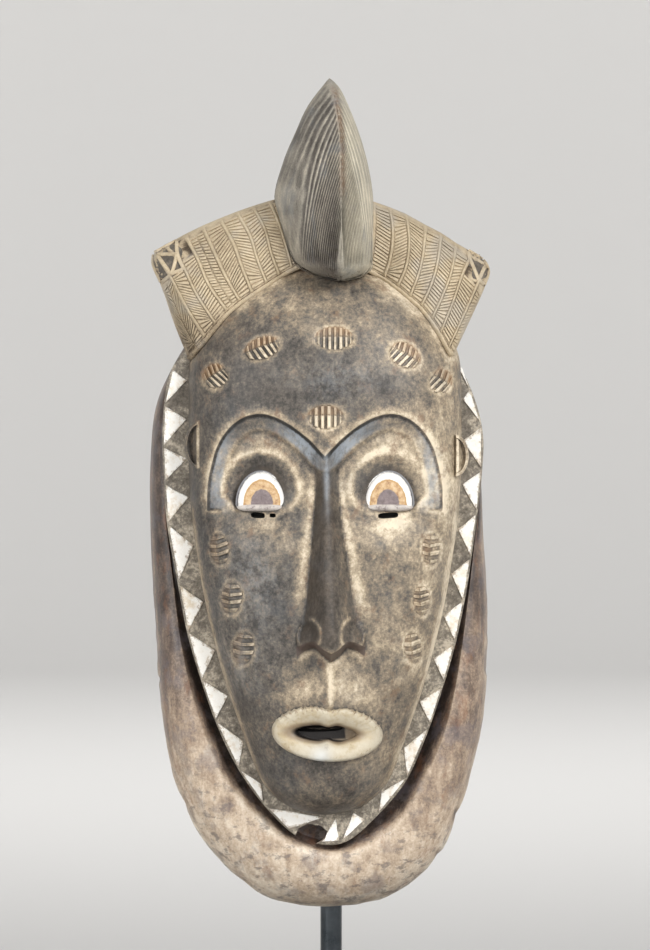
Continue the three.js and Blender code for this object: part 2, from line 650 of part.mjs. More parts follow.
// Crest: bud with a front keel, fluted sides and a rounded back
function crest() {
  const sideSteps = 2 * CREST_FLUTES;
  return solidFromLoops(CREST_LEVELS.map((level) => {
    const h = CREST_BASE + CREST_HEIGHT * level / 100;
    const left = profile(CREST_LEFT, level);
    const right = profile(CREST_RIGHT, level);
    const keel = profile(CREST_KEEL, level);
    const front = profile(CREST_FRONT, level);
    const side = profile(CREST_SIDE, level);
    const back = profile(CREST_BACK, level);
    const { from, full, falling, to } = FLUTE_ENDS;
    const fade = smooth(to, falling, level) * smooth(from, full, level);
    const flank = (edge) => Array.from({ length: sideSteps }, (_, k) => {
      const share = k / sideSteps;
      const flute = k % 2 === 1 ? FLUTE_DEPTH * fade : 0;
      const round = Math.pow(1 - Math.pow(1 - share, 1.8), 1 / 1.5);
      return [edge + (keel - edge) * share, h, side + (front - side) * round - flute];
    });
    const middle = (left + right) / 2;
    const rear = [0.15, 0.4, 0.6, 0.85].map((share) => {
      const x = right + (left - right) * share;
      const round = Math.sqrt(Math.max(0, 1 - ((x - middle) / (right - middle + 0.01)) ** 2));
      return [x, h, side + (back - side) * round];
    });
    return [...flank(left), [keel, h, front], ...flank(right).reverse(), ...rear];
  }));
}

// Hollow behind the face, open at the back, narrowing from the collar's rim to the face
function hollow() {
  const rimRadius = (angle) => collarRadius(angle) - RIM_WIDTH;
  const innerRadius = (angle) => faceRadius(angle) - WALL;
  const waistRadius = (angle) => (rimRadius(angle) + innerRadius(angle)) / 2;
  const shares = [1, 0.94, 0.83, 0.68, 0.48, 0.24, 0.05];
  const domeDepth = (share) => (h) => {
    const middle = profile(FACE_MIDDLE, clamp(h, HOLLOW_DOME_BOTTOM, HOLLOW_DOME_TOP)) - WALL - EYE_RECESS;
    return HOLLOW_SHOULDER + (middle - HOLLOW_SHOULDER) * Math.pow(1 - Math.pow(share, 2.6), 1 / 2.2);
  };
  return solidFromLoops([
    ring((angle) => 0.05 * rimRadius(angle), () => -2, HOLLOW_STEPS),
    ring(rimRadius, () => -2, HOLLOW_STEPS),
    ring(rimRadius, () => 0.3 * HOLLOW_SHOULDER, HOLLOW_STEPS),
    ring(waistRadius, () => 0.72 * HOLLOW_SHOULDER, HOLLOW_STEPS),
    ...shares.map((share) => ring((angle) => share * innerRadius(angle), domeDepth(share), HOLLOW_STEPS)),
  ]);
}

// Straight cut through the face, between two depths
function throughCut(x, h, halfWidth, halfHeight) {
  const outline = (d) => Array.from({ length: 12 }, (_, k) => {
    const angle = 2 * Math.PI * k / 12;
    const wide = Math.sign(Math.cos(angle)) * Math.abs(Math.cos(angle)) ** CUT_SQUARENESS;
    const tall = Math.sign(Math.sin(angle)) * Math.abs(Math.sin(angle)) ** CUT_SQUARENESS;
    return [x + halfWidth * wide, h + halfHeight * tall, d];
  });
  return solidFromLoops([outline(CUT_FROM), outline(CUT_TO)]);
}

function cuts() {
  const slit = EYE_BOTTOM - SLIT_DROP;
  const { x, length, shortX, shortLength, shortRise } = SPLIT_SLIT;
  return [
    throughCut(x, slit, length / 2, SLIT_HEIGHT / 2),
    throughCut(shortX, slit + shortRise, shortLength / 2, SLIT_HEIGHT / 2 - shortRise),
    throughCut(EYE_OFFSET, slit, SLIT_LENGTH / 2, SLIT_HEIGHT / 2),
    throughCut(MOUTH_CUT.x, MOUTH_HEIGHT, MOUTH_CUT.halfWidth, MOUTH_CUT.halfHeight),
  ];
}

function flangeChip() {
  const outline = (d) => Array.from({ length: 10 }, (_, k) => {
    const angle = 2 * Math.PI * k / 10;
    return [CHIP.x + CHIP.halfWidth * Math.cos(angle), CHIP.h + CHIP.halfHeight * Math.sin(angle), d];
  });
  return solidFromLoops([outline(GUTTER_DEPTH), outline(FLANGE_DEPTH + 6)]);
}

function maskSolid() {
  const toothed = [flangePlate(), ...teeth()].reduce((sum, piece) => sum.add(piece));
  const flange = toothed.subtract(flangeChip());
  const relief = [eyePlate(-1), eyePlate(1), ...scarMarks(), earRing(EAR_LEFT), earRing(EAR_RIGHT)];
  const hair = [bun(BUN_LEFT), bun(BUN_RIGHT), crest()];
  const parts = [collarBody(), flange, faceShell(), ...relief, ...hair];
  let whole = parts.reduce((sum, piece) => sum.add(piece));
  for (const cut of [hollow(), ...cuts()]) whole = whole.subtract(cut);
  return whole.simplify(JOIN_TOLERANCE);
}

// Rod: up behind the collar, bent forward into the hollow, with a crossbar under the hollow's top
const rodRadius = ROD_DIAMETER / 2;
const hollowTop = OUTLINE_CENTRE + collarRadius(Math.PI / 2) - RIM_WIDTH;
const crossbarHeight = MASK_LIFT + hollowTop - CROSSBAR_DROP;
const rodFoot = FOOT_THICKNESS - ROD_SEAT_DEPTH + FIT_CLEARANCE;

function rodSolid() {
  const bendStart = crossbarHeight - ROD_BEND_RADIUS;
  const station = (turn) => Array.from({ length: ROD_SIDES }, (_, k) => {
    const angle = 2 * Math.PI * k / ROD_SIDES;
    const out = rodRadius * Math.sin(angle);
    return [
      rodRadius * Math.cos(angle),
      bendStart + ROD_BEND_RADIUS * Math.sin(turn) + out * Math.sin(turn),
      -(ROD_BEHIND_CENTRE - ROD_BEND_RADIUS * (1 - Math.cos(turn)) + out * Math.cos(turn)),
    ];
  });
  const turnAt = (k) => radians(90) * k / ROD_BEND_STEPS;
  const bend = Array.from({ length: ROD_BEND_STEPS + 1 }, (_, k) => station(turnAt(k)));
  const lowest = bend[0].map(([x, , d]) => [x, rodFoot, d]);
  const bar = new THREE.CylinderGeometry(CROSSBAR_DIAMETER / 2, CROSSBAR_DIAMETER / 2, CROSSBAR_LENGTH, 20);
  bar.rotateZ(Math.PI / 2);
  bar.translate(0, ROD_BEHIND_CENTRE - ROD_BEND_RADIUS, crossbarHeight);
  return solidFromLoops([lowest, ...bend]).add(solidFromGeometry(bar));
}

// Foot: square plate with chamfered edges and a blind seat for the rod
function footSolid() {
  const outline = (inset, z) => {
    const [x, y] = [FOOT_WIDTH / 2 - inset, FOOT_DEPTH / 2 - inset];
    return [[-x, z, y], [x, z, y], [x, z, -y], [-x, z, -y]];
  };
  const plate = solidFromLoops([
    outline(FOOT_CHAMFER, 0),
    outline(0, FOOT_CHAMFER),
    outline(0, FOOT_THICKNESS - FOOT_CHAMFER),
    outline(FOOT_CHAMFER, FOOT_THICKNESS),
  ]);
  const seatRadius = rodRadius + FIT_CLEARANCE;
  const seat = new THREE.CylinderGeometry(seatRadius, seatRadius, 2 * ROD_SEAT_DEPTH, 24);
  seat.rotateX(Math.PI / 2);
  seat.translate(0, ROD_BEHIND_CENTRE, FOOT_THICKNESS);
  return plate.subtract(solidFromGeometry(seat));
}

const wood = new THREE.MeshStandardMaterial({ color: 0x6b6052, roughness: 0.55, metalness: 0 });
const steel = new THREE.MeshStandardMaterial({ color: 0x2b2e31, roughness: 0.3, metalness: 0.9 });
const paintedSteel = new THREE.MeshStandardMaterial({ color: 0x17181a, roughness: 0.5, metalness: 0.4 });

const group = new THREE.Group();

const mask = new THREE.Mesh(geometryFromSolid(maskSolid()), wood);
mask.name = 'mask';
mask.position.set(-MASK_SHIFT, ROD_BEHIND_CENTRE - rodRadius - FIT_CLEARANCE, MASK_LIFT);
group.add(mask);

const rod = new THREE.Mesh(geometryFromSolid(rodSolid()), steel);
rod.name = 'stand_rod';
group.add(rod);

const foot = new THREE.Mesh(geometryFromSolid(footSolid()), paintedSteel);
foot.name = 'stand_foot';
group.add(foot);

export default group;
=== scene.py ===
import math
import bpy
import numpy as np
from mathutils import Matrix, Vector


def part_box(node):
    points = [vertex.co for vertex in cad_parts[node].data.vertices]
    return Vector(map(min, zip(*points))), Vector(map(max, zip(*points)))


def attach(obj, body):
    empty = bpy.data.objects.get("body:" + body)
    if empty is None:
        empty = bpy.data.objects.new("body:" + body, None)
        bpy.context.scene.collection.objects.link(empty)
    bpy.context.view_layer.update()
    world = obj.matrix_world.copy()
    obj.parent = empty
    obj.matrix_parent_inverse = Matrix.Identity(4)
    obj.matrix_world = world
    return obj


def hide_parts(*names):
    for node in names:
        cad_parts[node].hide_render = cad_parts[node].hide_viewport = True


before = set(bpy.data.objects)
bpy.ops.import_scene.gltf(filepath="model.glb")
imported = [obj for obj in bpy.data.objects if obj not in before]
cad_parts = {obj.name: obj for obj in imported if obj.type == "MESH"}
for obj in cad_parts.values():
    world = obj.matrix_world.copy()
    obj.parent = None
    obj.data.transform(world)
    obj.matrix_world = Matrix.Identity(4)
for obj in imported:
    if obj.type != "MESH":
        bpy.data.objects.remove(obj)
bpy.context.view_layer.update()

# Sizes are millimetres on the carving: x from its middle, h from its lowest point, d from its back rim
MM = 0.001
MASK_SHIFT = 3.0
mask_low, mask_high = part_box("mask")
BACK_Y = mask_high.y / MM
BASE_Z = mask_low.z / MM

WALL = 12.0
RIM_WIDTH = 15.0
HOLLOW_SHOULDER = 30.0
EYE_RECESS = 7.0
GUTTER_DEPTH = 32.0
FLANGE_DEPTH = 44.0
FACE_EDGE_DEPTH = 42.0
OUTLINE_CENTRE = 165.0
# Share of an outline's radius at which the end rings of a closed piece sit
END_SHARE = 0.05
HOLLOW_DOME_BOTTOM, HOLLOW_DOME_TOP = 64.0, 290.0
ROLL_BEND, ROLL_DIP = 2.3, 1.4
FACE_BACK = 14.0
MOUTH_FALL, MARK_FALL, FACE_SKIM = 11.0, 0.9, 0.3

COLLAR_OUTLINE = [
    (0, 0), (23, 2), (40, 10), (56, 26), (66, 48), (73, 72), (78, 100), (79, 150), (77, 180), (76, 203),
    (74, 228), (68, 254), (58, 282), (36, 306), (0, 318), (-38, 306), (-60, 284), (-73, 264), (-82, 244),
    (-85, 215), (-85, 185), (-83, 142), (-80, 99), (-74, 64), (-61, 35), (-45, 16), (-27, 4),
]
FLANGE_OUTLINE = [
    (2, 32), (11, 34), (26, 47), (39, 63), (50, 88), (57, 109), (62.5, 128), (67, 149), (70.5, 171),
    (73.5, 193), (75.5, 212), (76, 228), (73, 243), (66, 260), (56, 276), (36, 298), (0, 308), (-36, 298),
    (-60, 277), (-74, 260), (-78, 232), (-77.5, 212), (-76, 187), (-71, 159), (-66, 133), (-59.5, 111),
    (-52.5, 91), (-42, 69), (-27, 48.5), (-13, 36),
]
CREASE_OUTLINE = [
    (2, 28.5), (14, 30.5), (25, 36.5), (37, 47), (48, 68), (53.5, 80), (58, 93), (62.5, 113), (65, 128),
    (68, 149), (71, 171), (73.7, 193), (75, 212), (75.5, 228), (72.5, 243), (65, 260), (55, 276), (35, 298),
    (0, 307), (-35, 298), (-59, 277), (-73.5, 260), (-77.5, 232), (-77, 212), (-76, 187), (-72.5, 159),
    (-69, 133), (-64, 110), (-56, 85), (-47.5, 65), (-36, 51), (-28, 43.5), (-17, 34.5),
]
FACE_HALF_WIDTH = [
    (46.5, 0), (47.5, 8), (50, 16), (54, 22.5), (60, 28.5), (67, 32.5), (87, 40), (109, 47.5), (129, 53),
    (151, 58), (179, 62.5), (200, 64.8), (225, 65.5), (250, 65.5), (266, 64.5), (280, 58.5), (292, 48.5),
    (302, 36), (309, 24), (314, 11), (316, 0),
]
FACE_MIDDLE = [
    (46.5, 44), (49, 57), (55, 67), (66, 73), (80, 76.5), (100, 79.5), (130, 82.5), (160, 84.5), (190, 86),
    (215, 87.5), (240, 89), (262, 88), (280, 83.5), (295, 76), (306, 66), (316, 52),
]
FACE_FULLNESS = [(46, 2), (100, 2.3), (180, 2.8), (250, 2.5), (316, 2.2)]

BROW_ARCH = [
    (-50, 192.4), (-56, 192.5), (-55.7, 205), (-54.2, 213), (-51.2, 223), (-46.5, 230.6), (-40, 236.2),
    (-32, 238.6), (-24, 237.2), (-16, 233), (-8, 226.8), (-3, 221.6), (0, 218.4),
]
BROW_STEP, BROW_BAND_WIDTH, BROW_BAND_FALL, BROW_FLOOR_FALL = 1.7, 6.4, 2.7, 1.8
LEDGE_HEIGHT = 192.4

EYE_OFFSET, EYE_HALF_WIDTH, EYE_TOP, EYE_BOTTOM, EYE_STAND = 30.3, 11.2, 211.0, 193.3, 3.4
SOCKET_RADIUS, SOCKET_LOW_RADIUS, SOCKET_FALL, SOCKET_HEIGHT = 18.0, 13.0, 3.2, 203.0
EYE_LID = EYE_BOTTOM + 2.6
SLIT_LENGTH, SLIT_HEIGHT = 10.5, 2.4

NOSE_MIDDLE = [(121, 3), (140, 2.6), (180, 1.4), (218, 0.6)]
NOSE_HALF_WIDTH = [(119, 15.5), (131, 15), (141, 12.6), (160, 9.8), (180, 7.6), (204, 5.2), (222, 5.5)]
NOSE_STAND = [
    (119, 14), (127, 18.5), (134, 19.5), (141, 18), (160, 13.2), (180, 9.8), (200, 7), (214, 5), (224, 0),
]
NOSE_UNDER_FOOT = [(0, 121), (4, 124.4), (7.9, 128), (12, 126.6), (15.9, 123.8), (20, 122)]
NOSE_UNDER_EDGE = [(0, 125.6), (4, 127.9), (7.9, 131.2), (12, 130.4), (15.9, 128.4), (20, 127)]
WING_DISH_OFFSET, WING_DISH_HEIGHT = 10.9, 134.6
WING_DISH_WIDE, WING_DISH_TALL, WING_DISH_DEPTH = 5.7, 7.0, 1.9
WING_OFFSET, WING_HEIGHT, WING_RADIUS, WING_STAND = 10.0, 132.5, 6.6, 5.6

MOUTH_X, MOUTH_HEIGHT, LIP_HALF_WIDTH, LIP_HALF_HEIGHT = 1.1, 87.2, 26.3, 13.3
LIP_BOW, LIP_TILT = 1.9, 0.045
OPENING_HALF_WIDTH, OPENING_HALF_HEIGHT = 13.9, 3.5

# x, h, half length along the row of ridges, half height, turn in degrees, ridges
SCAR_MARKS = [
    (-52.2, 256.6, 5.9, 5.9, 34, 5),
    (-30, 269.7, 8.6, 5.2, 20, 6),
    (4.3, 274.4, 9.1, 5.4, 0, 7),
    (38, 266.3, 7.9, 5.6, -30, 6),
    (55.3, 254.2, 5.2, 6.0, -32, 4),
    (0.3, 237, 8.6, 5.4, 0, 6),
    (-50.2, 174.4, 7.6, 4.6, 98, 4),
    (-44.4, 151.2, 7.8, 4.9, 86, 4),
    (-38.8, 127.2, 7.9, 5.1, 82, 4),
    (50.6, 174.4, 7.8, 4.5, 88, 4),
    (46, 150, 7.4, 4.0, 94, 4),
    (42, 127.4, 7.6, 4.2, 98, 4),
]
# Marks turned further than this are the flat ones on the cheeks
CHEEK_TURN = 80

# Section of the lips from their outline to the mouth opening: share of the way and stand
LIP_SECTION = [
    (-0.02, -3), (0, 2.4), (0.03, 3.5), (0.08, 4.2), (0.16, 4.5), (0.3, 4.3), (0.45, 3.8), (0.6, 3.0),
    (0.75, 1.9), (0.87, 0.5), (0.95, -0.8), (1, -2.2), (1.03, -9),
]

EARS = [(-59.8, 224, 7.4, 11.2), (62.4, 219, 6.2, 9.8)]
EAR_BACK, EAR_FRONT = 46.0, 66.6

TEETH_LEFT = [
    (261, 16), (243.5, 19), (223.5, 16), (205.5, 18), (186, 27), (157, 22.5), (133.5, 22), (110.5, 18.5),
    (90, 21.5), (67, 15), (49, 10),
]
TEETH_RIGHT = [
    (265.5, 13), (251.5, 15), (233, 19), (212, 18.5), (191, 19.5), (169.5, 20), (149, 19), (127.5, 16.5),
    (107, 17), (87, 23), (63.5, 16.5),
]
TOOTH_STAND, TOOTH_POINT = 0.7, 0.36

# Ribs of the side buns from the outer edge inward, each from the hairline up to the bun's top
BUN_LEFT = [
    [(-65.3, 265), (-72.5, 283), (-79, 302), (-83.3, 312)],
    [(-56.5, 275), (-65.6, 289), (-73.4, 303.6), (-82.2, 317)],
    [(-51.5, 281), (-61.4, 296.3), (-68.7, 310.8), (-77.5, 320.3)],
    [(-46, 287.3), (-55.2, 300), (-60.9, 313), (-67.5, 325.8)],
    [(-40.2, 292), (-47.4, 304.6), (-53.1, 316.6), (-59.3, 329.8)],
    [(-34.5, 296), (-40.1, 310.3), (-43.2, 319.2), (-50.8, 333.4)],
    [(-27.5, 300.6), (-32.3, 313), (-35.4, 323.3), (-42.7, 336.6)],
    [(-21.5, 304.6), (-25.5, 315), (-28.7, 327), (-35, 339.3)],
    [(-15.5, 308), (-19.3, 321.3), (-22.9, 332.2), (-27, 341.8)],
    [(-9.5, 310.8), (-12, 322), (-14.5, 333), (-18, 344)],
    [(1.4, 312), (1.4, 324), (1.2, 336), (0.8, 345.8)],
]
BUN_RIGHT = [
    [(60.9, 266), (68.6, 282.2), (76.6, 299.8), (79.2, 307.5)],
    [(58.6, 269.8), (66, 285.4), (73.3, 301.5), (77.8, 312)],
    [(54.8, 277), (61.6, 294.2), (65.6, 306), (71.2, 317)],
    [(50.6, 283.5), (56.4, 296), (60.2, 306), (63.2, 321.6)],
    [(45.6, 289.8), (50.4, 300), (53.2, 309), (56, 326.4)],
    [(40.2, 294.4), (44, 304), (46.4, 313), (48.6, 330.2)],
    [(34.4, 299.2), (38.6, 309), (40.2, 320), (38.9, 335.6)],
    [(28, 303.8), (31, 313), (32.4, 325), (31, 338.8)],
    [(21, 307.6), (22.4, 316), (23.4, 328), (23.6, 341.4)],
    [(11, 310.6), (12, 319), (12.6, 331), (13, 344)],
    [(-1, 312), (-1, 322), (-1, 334), (-0.8, 345.8)],
]
# Bands between the ribs: rib, part of the width, slant of the cuts below and above, how far up they run
BANDS_LEFT = [
    (0, 0.1, 0.46, -50, -50, 0.7), (0, 0.54, 0.9, 84, 84, 0.68), (1, 0.12, 0.88, -14, -14, 0.68),
    (2, 0.12, 0.88, 62, 55, 0.74), (3, 0.12, 0.46, 5, 5, 0.92), (3, 0.54, 0.88, 2, 2, 0.92),
    (4, 0.12, 0.88, 70, 48, 0.93), (5, 0.12, 0.88, -28, 2, 0.93), (6, 0.12, 0.88, 55, 42, 0.93),
    (7, 0.12, 0.88, -25, 0, 0.93), (8, 0.12, 0.88, 50, 44, 0.93),
]
BANDS_RIGHT = [
    (0, 0.2, 0.8, 8, 8, 0.72), (1, 0.12, 0.88, -60, -56, 0.72), (2, 0.12, 0.88, 16, 3, 0.9),
    (3, 0.12, 0.88, -48, -46, 0.93), (4, 0.12, 0.88, 20, 2, 0.93), (5, 0.12, 0.88, -52, -42, 0.93),
    (6, 0.12, 0.88, 28, 22, 0.93), (7, 0.12, 0.88, -36, -30, 0.93),
]
CUT_PITCH, MOST_LEAN = 1.55, 0.24
# Bars of the crossed squares at the buns' outer corners
BARS_LEFT = [
    [(-82, 316.6), (-71.5, 322.2)], [(-71.2, 322.4), (-70.6, 315.6), (-67.6, 308.4)],
    [(-80.6, 315.6), (-70.8, 315.4)], [(-80.6, 315.4), (-73.6, 305.8)],
    [(-70.8, 315.2), (-73.4, 306), (-78.2, 302)], [(-73.4, 305.8), (-67.4, 308.2)],
    [(-82.4, 316), (-82.6, 311.6), (-78.6, 302.4)],
]
BARS_RIGHT = [
    [(68.8, 317.6), (75.8, 313.6)], [(76, 313.4), (78.4, 308), (76.2, 301)], [(69.4, 314.6), (76.4, 311)],
    [(69.2, 313.8), (73.4, 303.2)], [(76.6, 309.6), (73.6, 303.4)], [(68.8, 317.4), (69.2, 313.6)],
    [(73.4, 303.2), (76.2, 300.8)],
]
BUN_STAND, BUN_TOP_FRONT, BUN_END_FRONT, BUN_BACK, RIB_STAND = 2.0, 56.0, 53.0, 16.0, 1.3

CREST_LEFT = [
    (302, 5), (303.5, -2), (306, -8), (309.5, -14), (325, -20.5), (334, -23.6), (343, -25.5), (361, -20.6),
    (372, -16), (386, -9.6), (397, -1.4), (400, 1.2),
]
CREST_RIGHT = [
    (302, 9.5), (303.5, 16), (306, 20.5), (308.5, 22.6), (325, 23.4), (341, 24.4), (356, 22), (369, 18.6),
    (382.6, 13.7), (394.6, 8.2), (398.4, 4.8), (400, 2.6),
]
CREST_KEEL = [(302, 7.4), (332, 7.8), (360, 7.6), (372, 7.2), (387, 5.2), (400, 2)]
CREST_FRONT = [
    (302, 84), (305, 92), (312, 97), (330, 99), (350, 94), (370, 84), (388, 70), (396, 61), (400, 54),
]
CREST_SIDE = [(302, 70), (320, 64), (343, 58), (370, 53), (400, 50)]
CREST_BACK = [(302, 24), (330, 20), (350, 22), (370, 29), (388, 38), (400, 46)]
CREST_BASE, CREST_TIP = 302.0, 399.6
# Height at which the keel's grooves give way to the rounded foot, and of the crest's widest place
CREST_FOOT, CREST_WAIST = 329.0, 345.0

# Chips on the collar's rim: angle about the middle in degrees, depth, half width in degrees
RIM_CHIPS = [
    (-121, 1.1, 1.6), (-69, 1.3, 1.3), (-62, 1.5, 1.5), (-104, 0.7, 2.2), (-83, 0.6, 1.8), (-146, 0.8, 1.2),
    (-33, 0.7, 1),
]

FINISHES = [
    "face_patina", "plaited_hair", "crest_wood", "border_wood", "tooth_chalk", "collar_wood", "back_wood",
    "eye_paint", "lip_paint", "eyelid_paint", "square_dark",
]
FINISH = {name: i for i, name in enumerate(FINISHES)}


def smooth(start, end, value):
    t = np.clip((np.asarray(value, float) - start) / (end - start), 0, 1)
    return t * t * (3 - 2 * t)


def bent(start, end, rise, t):
    """Way gained after share t of a step that rises by the given amount between two slopes."""
    return start * t + (3 * rise - 2 * start - end) * t**2 + (start + end - 2 * rise) * t**3


def profile(pairs, place):
    """Smooth value at a place between listed pairs, with slopes taken from the neighbours."""
    xs, ys = np.array(pairs, float).T
    place = np.clip(np.asarray(place, float), xs[0], xs[-1])
    i = np.clip(np.searchsorted(xs, place, side="right") - 1, 0, len(xs) - 2)
    order, last = np.arange(len(xs)), len(xs) - 1
    before, after = np.maximum(order - 1, 0), np.minimum(order + 1, last)
    slopes = (ys[after] - ys[before]) / (xs[after] - xs[before])
    width, rise = xs[i + 1] - xs[i], ys[i + 1] - ys[i]
    safe = np.where(rise == 0, 1, rise)
    start = np.where(rise == 0, 0, np.clip(slopes[i] * width / safe, 0, 3) * rise)
    end = np.where(rise == 0, 0, np.clip(slopes[i + 1] * width / safe, 0, 3) * rise)
    t = (place - xs[i]) / width
    return ys[i] + bent(start, end, rise, t)


def flowing_curve(points, closed, steps=12):
    """Points along a smooth curve through the listed ones."""
    p = np.array(points, float)
    count = len(p) if closed else len(p) - 1
    out = []
    for k in range(count):
        if closed:
            a, b, c, e = p[k - 1], p[k], p[(k + 1) % len(p)], p[(k + 2) % len(p)]
        else:
            b, c = p[k], p[k + 1]
            a = p[k - 1] if k > 0 else 2 * b - c
            e = p[k + 2] if k + 2 < len(p) else 2 * c - b
        t0, t1, t2 = (max(np.hypot(*(v - u)) ** 0.5, 1e-4) for u, v in ((a, b), (b, c), (c, e)))
        start = ((b - a) / t0 - (c - a) / (t0 + t1) + (c - b) / t1) * t1
        end = ((c - b) / t1 - (e - b) / (t1 + t2) + (e - c) / t2) * t1
        t = (np.arange(steps) / steps)[:, None]
        out.append(b + bent(start, end, c - b, t))
    if not closed:
        out.append(p[-1:])
    return np.concatenate(out)


def outline_radius(outline):
    """Radius of an outline about the carving's middle, for any angle."""
    rays = flowing_curve(outline, True)
    angle = np.arctan2(rays[:, 1] - OUTLINE_CENTRE, rays[:, 0])
    radius = np.hypot(rays[:, 0], rays[:, 1] - OUTLINE_CENTRE)
    order = np.argsort(angle)
    angle, radius = angle[order], radius[order]
    angle = np.concatenate([angle - 2 * np.pi, angle, angle + 2 * np.pi])
    radius = np.tile(radius, 3)
    return lambda at: np.interp(at, angle, radius)


collar_radius = outline_radius(COLLAR_OUTLINE)
flange_radius = outline_radius(FLANGE_OUTLINE)
crease_radius = outline_radius(CREASE_OUTLINE)
face_radius = outline_radius(
    [(half, h) for h, half in FACE_HALF_WIDTH] + [(-half, h) for h, half in FACE_HALF_WIDTH[-2:0:-1]]
)


def hand_wave(points, size, seed):
    """Slow unevenness of hand carving, between about -1 and 1."""
    p = np.asarray(points, float) / size
    total = 0
    for k, strength in enumerate((0.5, 0.3, 0.2)):
        turn = 1.7 * k + 0.61 * seed
        direction = np.array([math.cos(turn), math.sin(1.3 * turn), math.sin(turn) * math.cos(2.1 * turn)])
        other = np.array([math.sin(turn), math.cos(0.7 * turn), math.sin(1.9 * turn)])
        swell = np.sin(p @ direction * (1 + 0.6 * k) + seed) * np.cos(p @ other * (1.3 + 0.5 * k) + 2 * seed)
        total = total + strength * swell
    return total


# Levels of the carving

BROW_CURVE = np.concatenate([np.array(BROW_ARCH[:1], float), flowing_curve(BROW_ARCH[1:], False, 4)])


def brow_distance(x, h):
    """Distance to the nearer brow's edge, and whether the place is under the arch."""
    side = -np.abs(x)
    nearest = np.full(np.shape(x), 1e9)
    arch = np.full(np.shape(x), -1e9)
    for i in range(len(BROW_CURVE) - 1):
        (ax, ah), (bx, bh) = BROW_CURVE[i], BROW_CURVE[i + 1]
        run = (bx - ax) ** 2 + (bh - ah) ** 2
        t = np.clip(((side - ax) * (bx - ax) + (h - ah) * (bh - ah)) / run, 0, 1)
        nearest = np.minimum(nearest, np.hypot(side - ax - t * (bx - ax), h - ah - t * (bh - ah)))
        if i > 0 and abs(bx - ax) > 1e-6:
            within = (side >= min(ax, bx)) & (side <= max(ax, bx))
            arch = np.where(within, np.maximum(arch, ah + (bh - ah) * (side - ax) / (bx - ax)), arch)
    return nearest, h < arch


def brow_inside(x, h):
    """Distance from the brow's edge in millimetres, positive under the arch."""
    nearest, under = brow_distance(x, h)
    return np.where(under, nearest, -nearest)


def brow_fall(x, h):
    inside = brow_inside(x, h)
    fall = BROW_STEP * smooth(-0.6, 1.2, inside) + BROW_BAND_FALL * smooth(0.5, BROW_BAND_WIDTH, inside)
    fall += BROW_FLOOR_FALL * smooth(BROW_BAND_WIDTH, BROW_BAND_WIDTH + 2.5, inside)
    low = np.where(h < LEDGE_HEIGHT, 1 - smooth(47, 52, np.abs(x)), 1)
    return fall * low * smooth(174, 196, h)


def socket_fall(x, h):
    dx, rise = np.abs(x) - EYE_OFFSET, h - SOCKET_HEIGHT
    tall = np.where(rise > 0, SOCKET_RADIUS, SOCKET_LOW_RADIUS)
    return SOCKET_FALL * (1 - smooth(0.5, 1, np.hypot(dx / SOCKET_RADIUS, rise / tall)))


def nose_off(x, h):
    return np.abs(x - profile(NOSE_MIDDLE, h))


def nose_share(x, h):
    return nose_off(x, h) / profile(NOSE_HALF_WIDTH, h)


def wing_share(x, h):
    dx = nose_off(x, h)
    return np.hypot((dx - WING_OFFSET) / WING_RADIUS, (h - WING_HEIGHT) / (1.25 * WING_RADIUS))


def dish_share(x, h):
    dx = nose_off(x, h)
    return np.hypot((dx - WING_DISH_OFFSET) / WING_DISH_WIDE, (h - WING_DISH_HEIGHT) / WING_DISH_TALL)


def nose_under(x, h):
    """0 at the foot of the nose's underside, 1 at its front edge."""
    dx = nose_off(x, h)
    foot, edge = profile(NOSE_UNDER_FOOT, dx), profile(NOSE_UNDER_EDGE, dx)
    return (h - foot) / (edge - foot)


def nose_stand(x, h):
    round_front = 0.34
    share = np.sqrt(nose_share(x, h) ** 2 + round_front**2) - round_front
    t = np.clip(share / (math.sqrt(1 + round_front**2) - round_front), 0, 1)
    keel = profile(NOSE_STAND, h) * (1 - t) * (1 + 0.35 * t * (1 - t) - 0.15 * t)
    wing = wing_share(x, h)
    bulge = WING_STAND * np.clip(1 - wing**2, 0, None) ** 0.72
    stand = np.maximum(keel, keel * 0.45 + bulge)
    stand = stand - WING_DISH_DEPTH * (1 - smooth(0.66, 0.98, dish_share(x, h))) * smooth(1, 3, stand)
    return stand * np.clip(nose_under(x, h), 0, 1)


def philtrum_stand(x, h):
    wide = 1.3 + 3.5 * smooth(112, 124, h)
    return 1.2 * np.exp(-(((x - 2.4) / wide) ** 2)) * smooth(97, 101, h) * (1 - smooth(118, 126, h))


def lip_rings(x, h):
    """Shares of the way out to the lips' outline and to the mouth opening's."""
    dx = x - MOUTH_X
    dh = h - MOUTH_HEIGHT + LIP_TILT * dx
    bow = np.where(dh > 0, LIP_BOW * np.exp(-((dx / 5) ** 2)), 0)
    outer = np.hypot(dx / LIP_HALF_WIDTH, dh / (LIP_HALF_HEIGHT - bow))
    inner = np.hypot(dx / OPENING_HALF_WIDTH, dh / (OPENING_HALF_HEIGHT - np.exp(-((dx / 3) ** 2))))
    return outer, inner


def mouth_fall(x, h):
    _, inner = lip_rings(x, h)
    return MOUTH_FALL * (1 - smooth(0.8, 1.5, inner))


def face_dome(x, h):
    half = np.maximum(0.01, profile(FACE_HALF_WIDTH, h))
    fullness = profile(FACE_FULLNESS, h)
    share = np.clip(np.abs(x) / half, 0, 1)
    swell = (1 - share**fullness) ** (1 / fullness)
    return FACE_EDGE_DEPTH + (profile(FACE_MIDDLE, h) - FACE_EDGE_DEPTH) * swell


